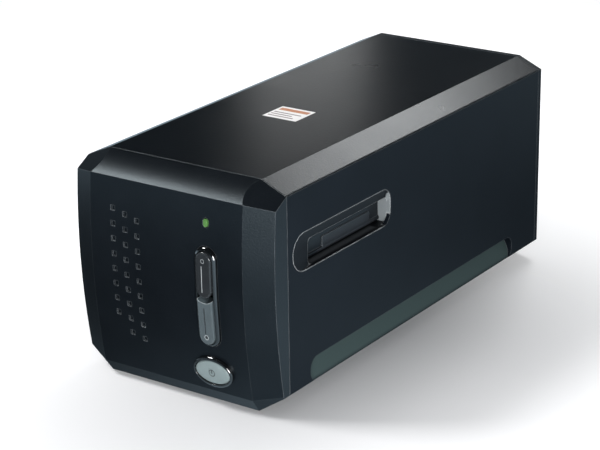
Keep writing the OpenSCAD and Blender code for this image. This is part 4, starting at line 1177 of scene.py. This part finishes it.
@dataclass
class Studio:
    """A pale floor, soft lamps and a camera where the photograph was taken from."""

    LAMPS: ClassVar[tuple[SoftLamp, ...]] = (
        SoftLamp("overhead_lamp", (-0.53, -0.4, 0.76), (0.24, 0.24), 6.3),
        SoftLamp("back_lamp", (-0.03, 0.51, 0.5), (0.18, 0.15), 1.45),
        SoftLamp("back_left_card", (-0.37, 0.53, 0.27), (0.1, 0.07), 0.07, (0.0, 0.05, 0.12)),
        SoftLamp("right_lamp", (0.4, -0.55, 0.14), (0.3, 0.24), 4.0),
    )
    REFLECTION_DIMS: ClassVar[tuple[tuple[Triple, Fall], ...]] = (
        ((-0.24, -0.28, 0.0), (0.18, 0.44, 0.05, 1.0)),
        ((0.06, 0.24, 0.0), (0.04, 0.3, 0.25, 1.0)),
    )

    azimuth: float = 34.6657
    elevation: float = 20.4381
    roll: float = -0.8703
    distance: float = 1108.2962 * MM
    focal_px: float = 2038.0134
    aim: Vector = field(default_factory=lambda: Vector((-15.784, 4.7359, 45.6513)) * MM)
    frame_width_px: float = 600.0
    sensor: float = 36.0
    farthest: float = 20.0
    world_colour: Colour = (0.94, 0.97, 1.0)
    world_strength: float = 0.34
    room_tint: Colour = (0.66, 0.86, 1.0)
    room_fall: Fall = (0.0, 0.17, 0.7, 0.02)
    floor_size: float = 12.0
    floor_colour: Colour = (0.82, 0.82, 0.83)
    floor_specular: float = 0.25
    floor_roughness: tuple[float, float] = (0.24, 0.3)
    lift_centre: Triple = (0.045, -0.082, 0.0)
    lift_reach: Triple = (0.0, 0.066, 0.0)
    lift_fall: Fall = (0.0, 0.27, 0.01, 0.56)

    def camera(self) -> None:
        """Creates the camera and makes it the scene's."""
        az, el, roll = (math.radians(v) for v in (self.azimuth, self.elevation, self.roll))
        back = Vector((math.sin(az) * math.cos(el), -math.cos(az) * math.cos(el), math.sin(el)))
        right = Vector((math.cos(az), math.sin(az), 0))
        up = back.cross(right)
        right, up = (
            right * math.cos(roll) + up * math.sin(roll),
            up * math.cos(roll) - right * math.sin(roll),
        )
        lens = bpy.data.cameras.new("photo_camera")
        lens.sensor_width = self.sensor
        lens.lens = self.focal_px / self.frame_width_px * self.sensor
        lens.clip_end = self.farthest
        camera = bpy.data.objects.new("photo_camera", lens)
        turn = Matrix((right, up, back)).transposed().to_4x4()
        camera.matrix_world = Matrix.Translation(self.aim + back * self.distance) @ turn
        bpy.context.scene.collection.objects.link(camera)
        bpy.context.scene.camera = camera

    def world(self) -> None:
        """White for the camera, a plain light, and in reflections a room that darkens upwards."""
        scene = bpy.context.scene
        scene.world = scene.world or bpy.data.worlds.new("studio")
        scene.world.use_nodes = True
        w = Wiring(scene.world.node_tree)
        base = w.find("Background")
        w.fill(base, Color=(*self.world_colour, 1), Strength=self.world_strength)
        height = w.axes(w.coordinate("Generated"))["Z"]
        rise = w.map_range(height, *self.room_fall, interpolation_type="SMOOTHSTEP")
        room = w.source("Background", self.room_tint, rise)
        lit = w.blend(w.reflected(), base.outputs["Background"], room)
        camera_ray = w.add("LightPath").outputs["Is Camera Ray"]
        seen = w.blend(camera_ray, lit, w.source("Background", WHITE, 1.0))
        w.feed(seen, w.find("OutputWorld").inputs["Surface"])

    def floor(self) -> None:
        """A wide pale floor that keeps the shadow.

        For the camera it is lifted towards white with the distance from the scanner. In
        reflections it is a plain light that dims round two places.
        """
        deselect_all()
        bpy.ops.mesh.primitive_plane_add(size=self.floor_size, location=ORIGIN)
        floor = take("studio_floor")
        settle(floor)
        made = bpy.data.materials.new("studio_floor")
        made.use_nodes = True
        w = Wiring(made.node_tree)
        shader = w.find("BsdfPrincipled")
        haze = w.add("TexNoise", Scale=3.0).outputs["Fac"]
        w.fill(
            shader,
            Base_Color=(*self.floor_colour, 1),
            Specular_IOR_Level=self.floor_specular,
            Roughness=w.map_range(haze, 0.0, 1.0, *self.floor_roughness),
        )
        rise = w.distance_fall(self.lift_centre, self.lift_fall, self.lift_reach)
        lift = w.product(w.add("LightPath").outputs["Is Camera Ray"], rise)
        glow = w.source("Emission", WHITE, lift)
        lifted = w.add("AddShader", shader.outputs["BSDF"], glow).outputs["Shader"]
        dims = (w.distance_fall(centre, fall) for centre, fall in self.REFLECTION_DIMS)
        mirrored = w.source("Emission", self.room_tint, w.product(*dims))
        seen = w.blend(w.reflected(), lifted, mirrored)
        w.feed(seen, w.find("OutputMaterial").inputs["Surface"])
        floor.data.materials.append(made)

    def build(self) -> None:
        """Sets the floor, the world, the lamps and the camera."""
        bpy.context.scene.view_settings.view_transform = "Standard"
        self.floor()
        self.world()
        for lamp in self.LAMPS:
            lamp.add()
        self.camera()


def main() -> None:
    """Loads the frame, dresses every sub-assembly and sets the studio."""
    logging.basicConfig(level=logging.INFO, format="%(name)s: %(message)s")
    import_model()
    effects = SharedEffects()
    materials = {finish.name: finish.material(effects) for finish in FINISHES}
    for kind in (Housing, KeyPanel, FilmPath, Carriage, DriveTrain, Electronics):
        part = kind(materials)
        part.build()
        log.info("%s: %d new pieces", kind.__name__, len(part.pieces))
    Studio().build()


if __name__ == "__main__":
    main()
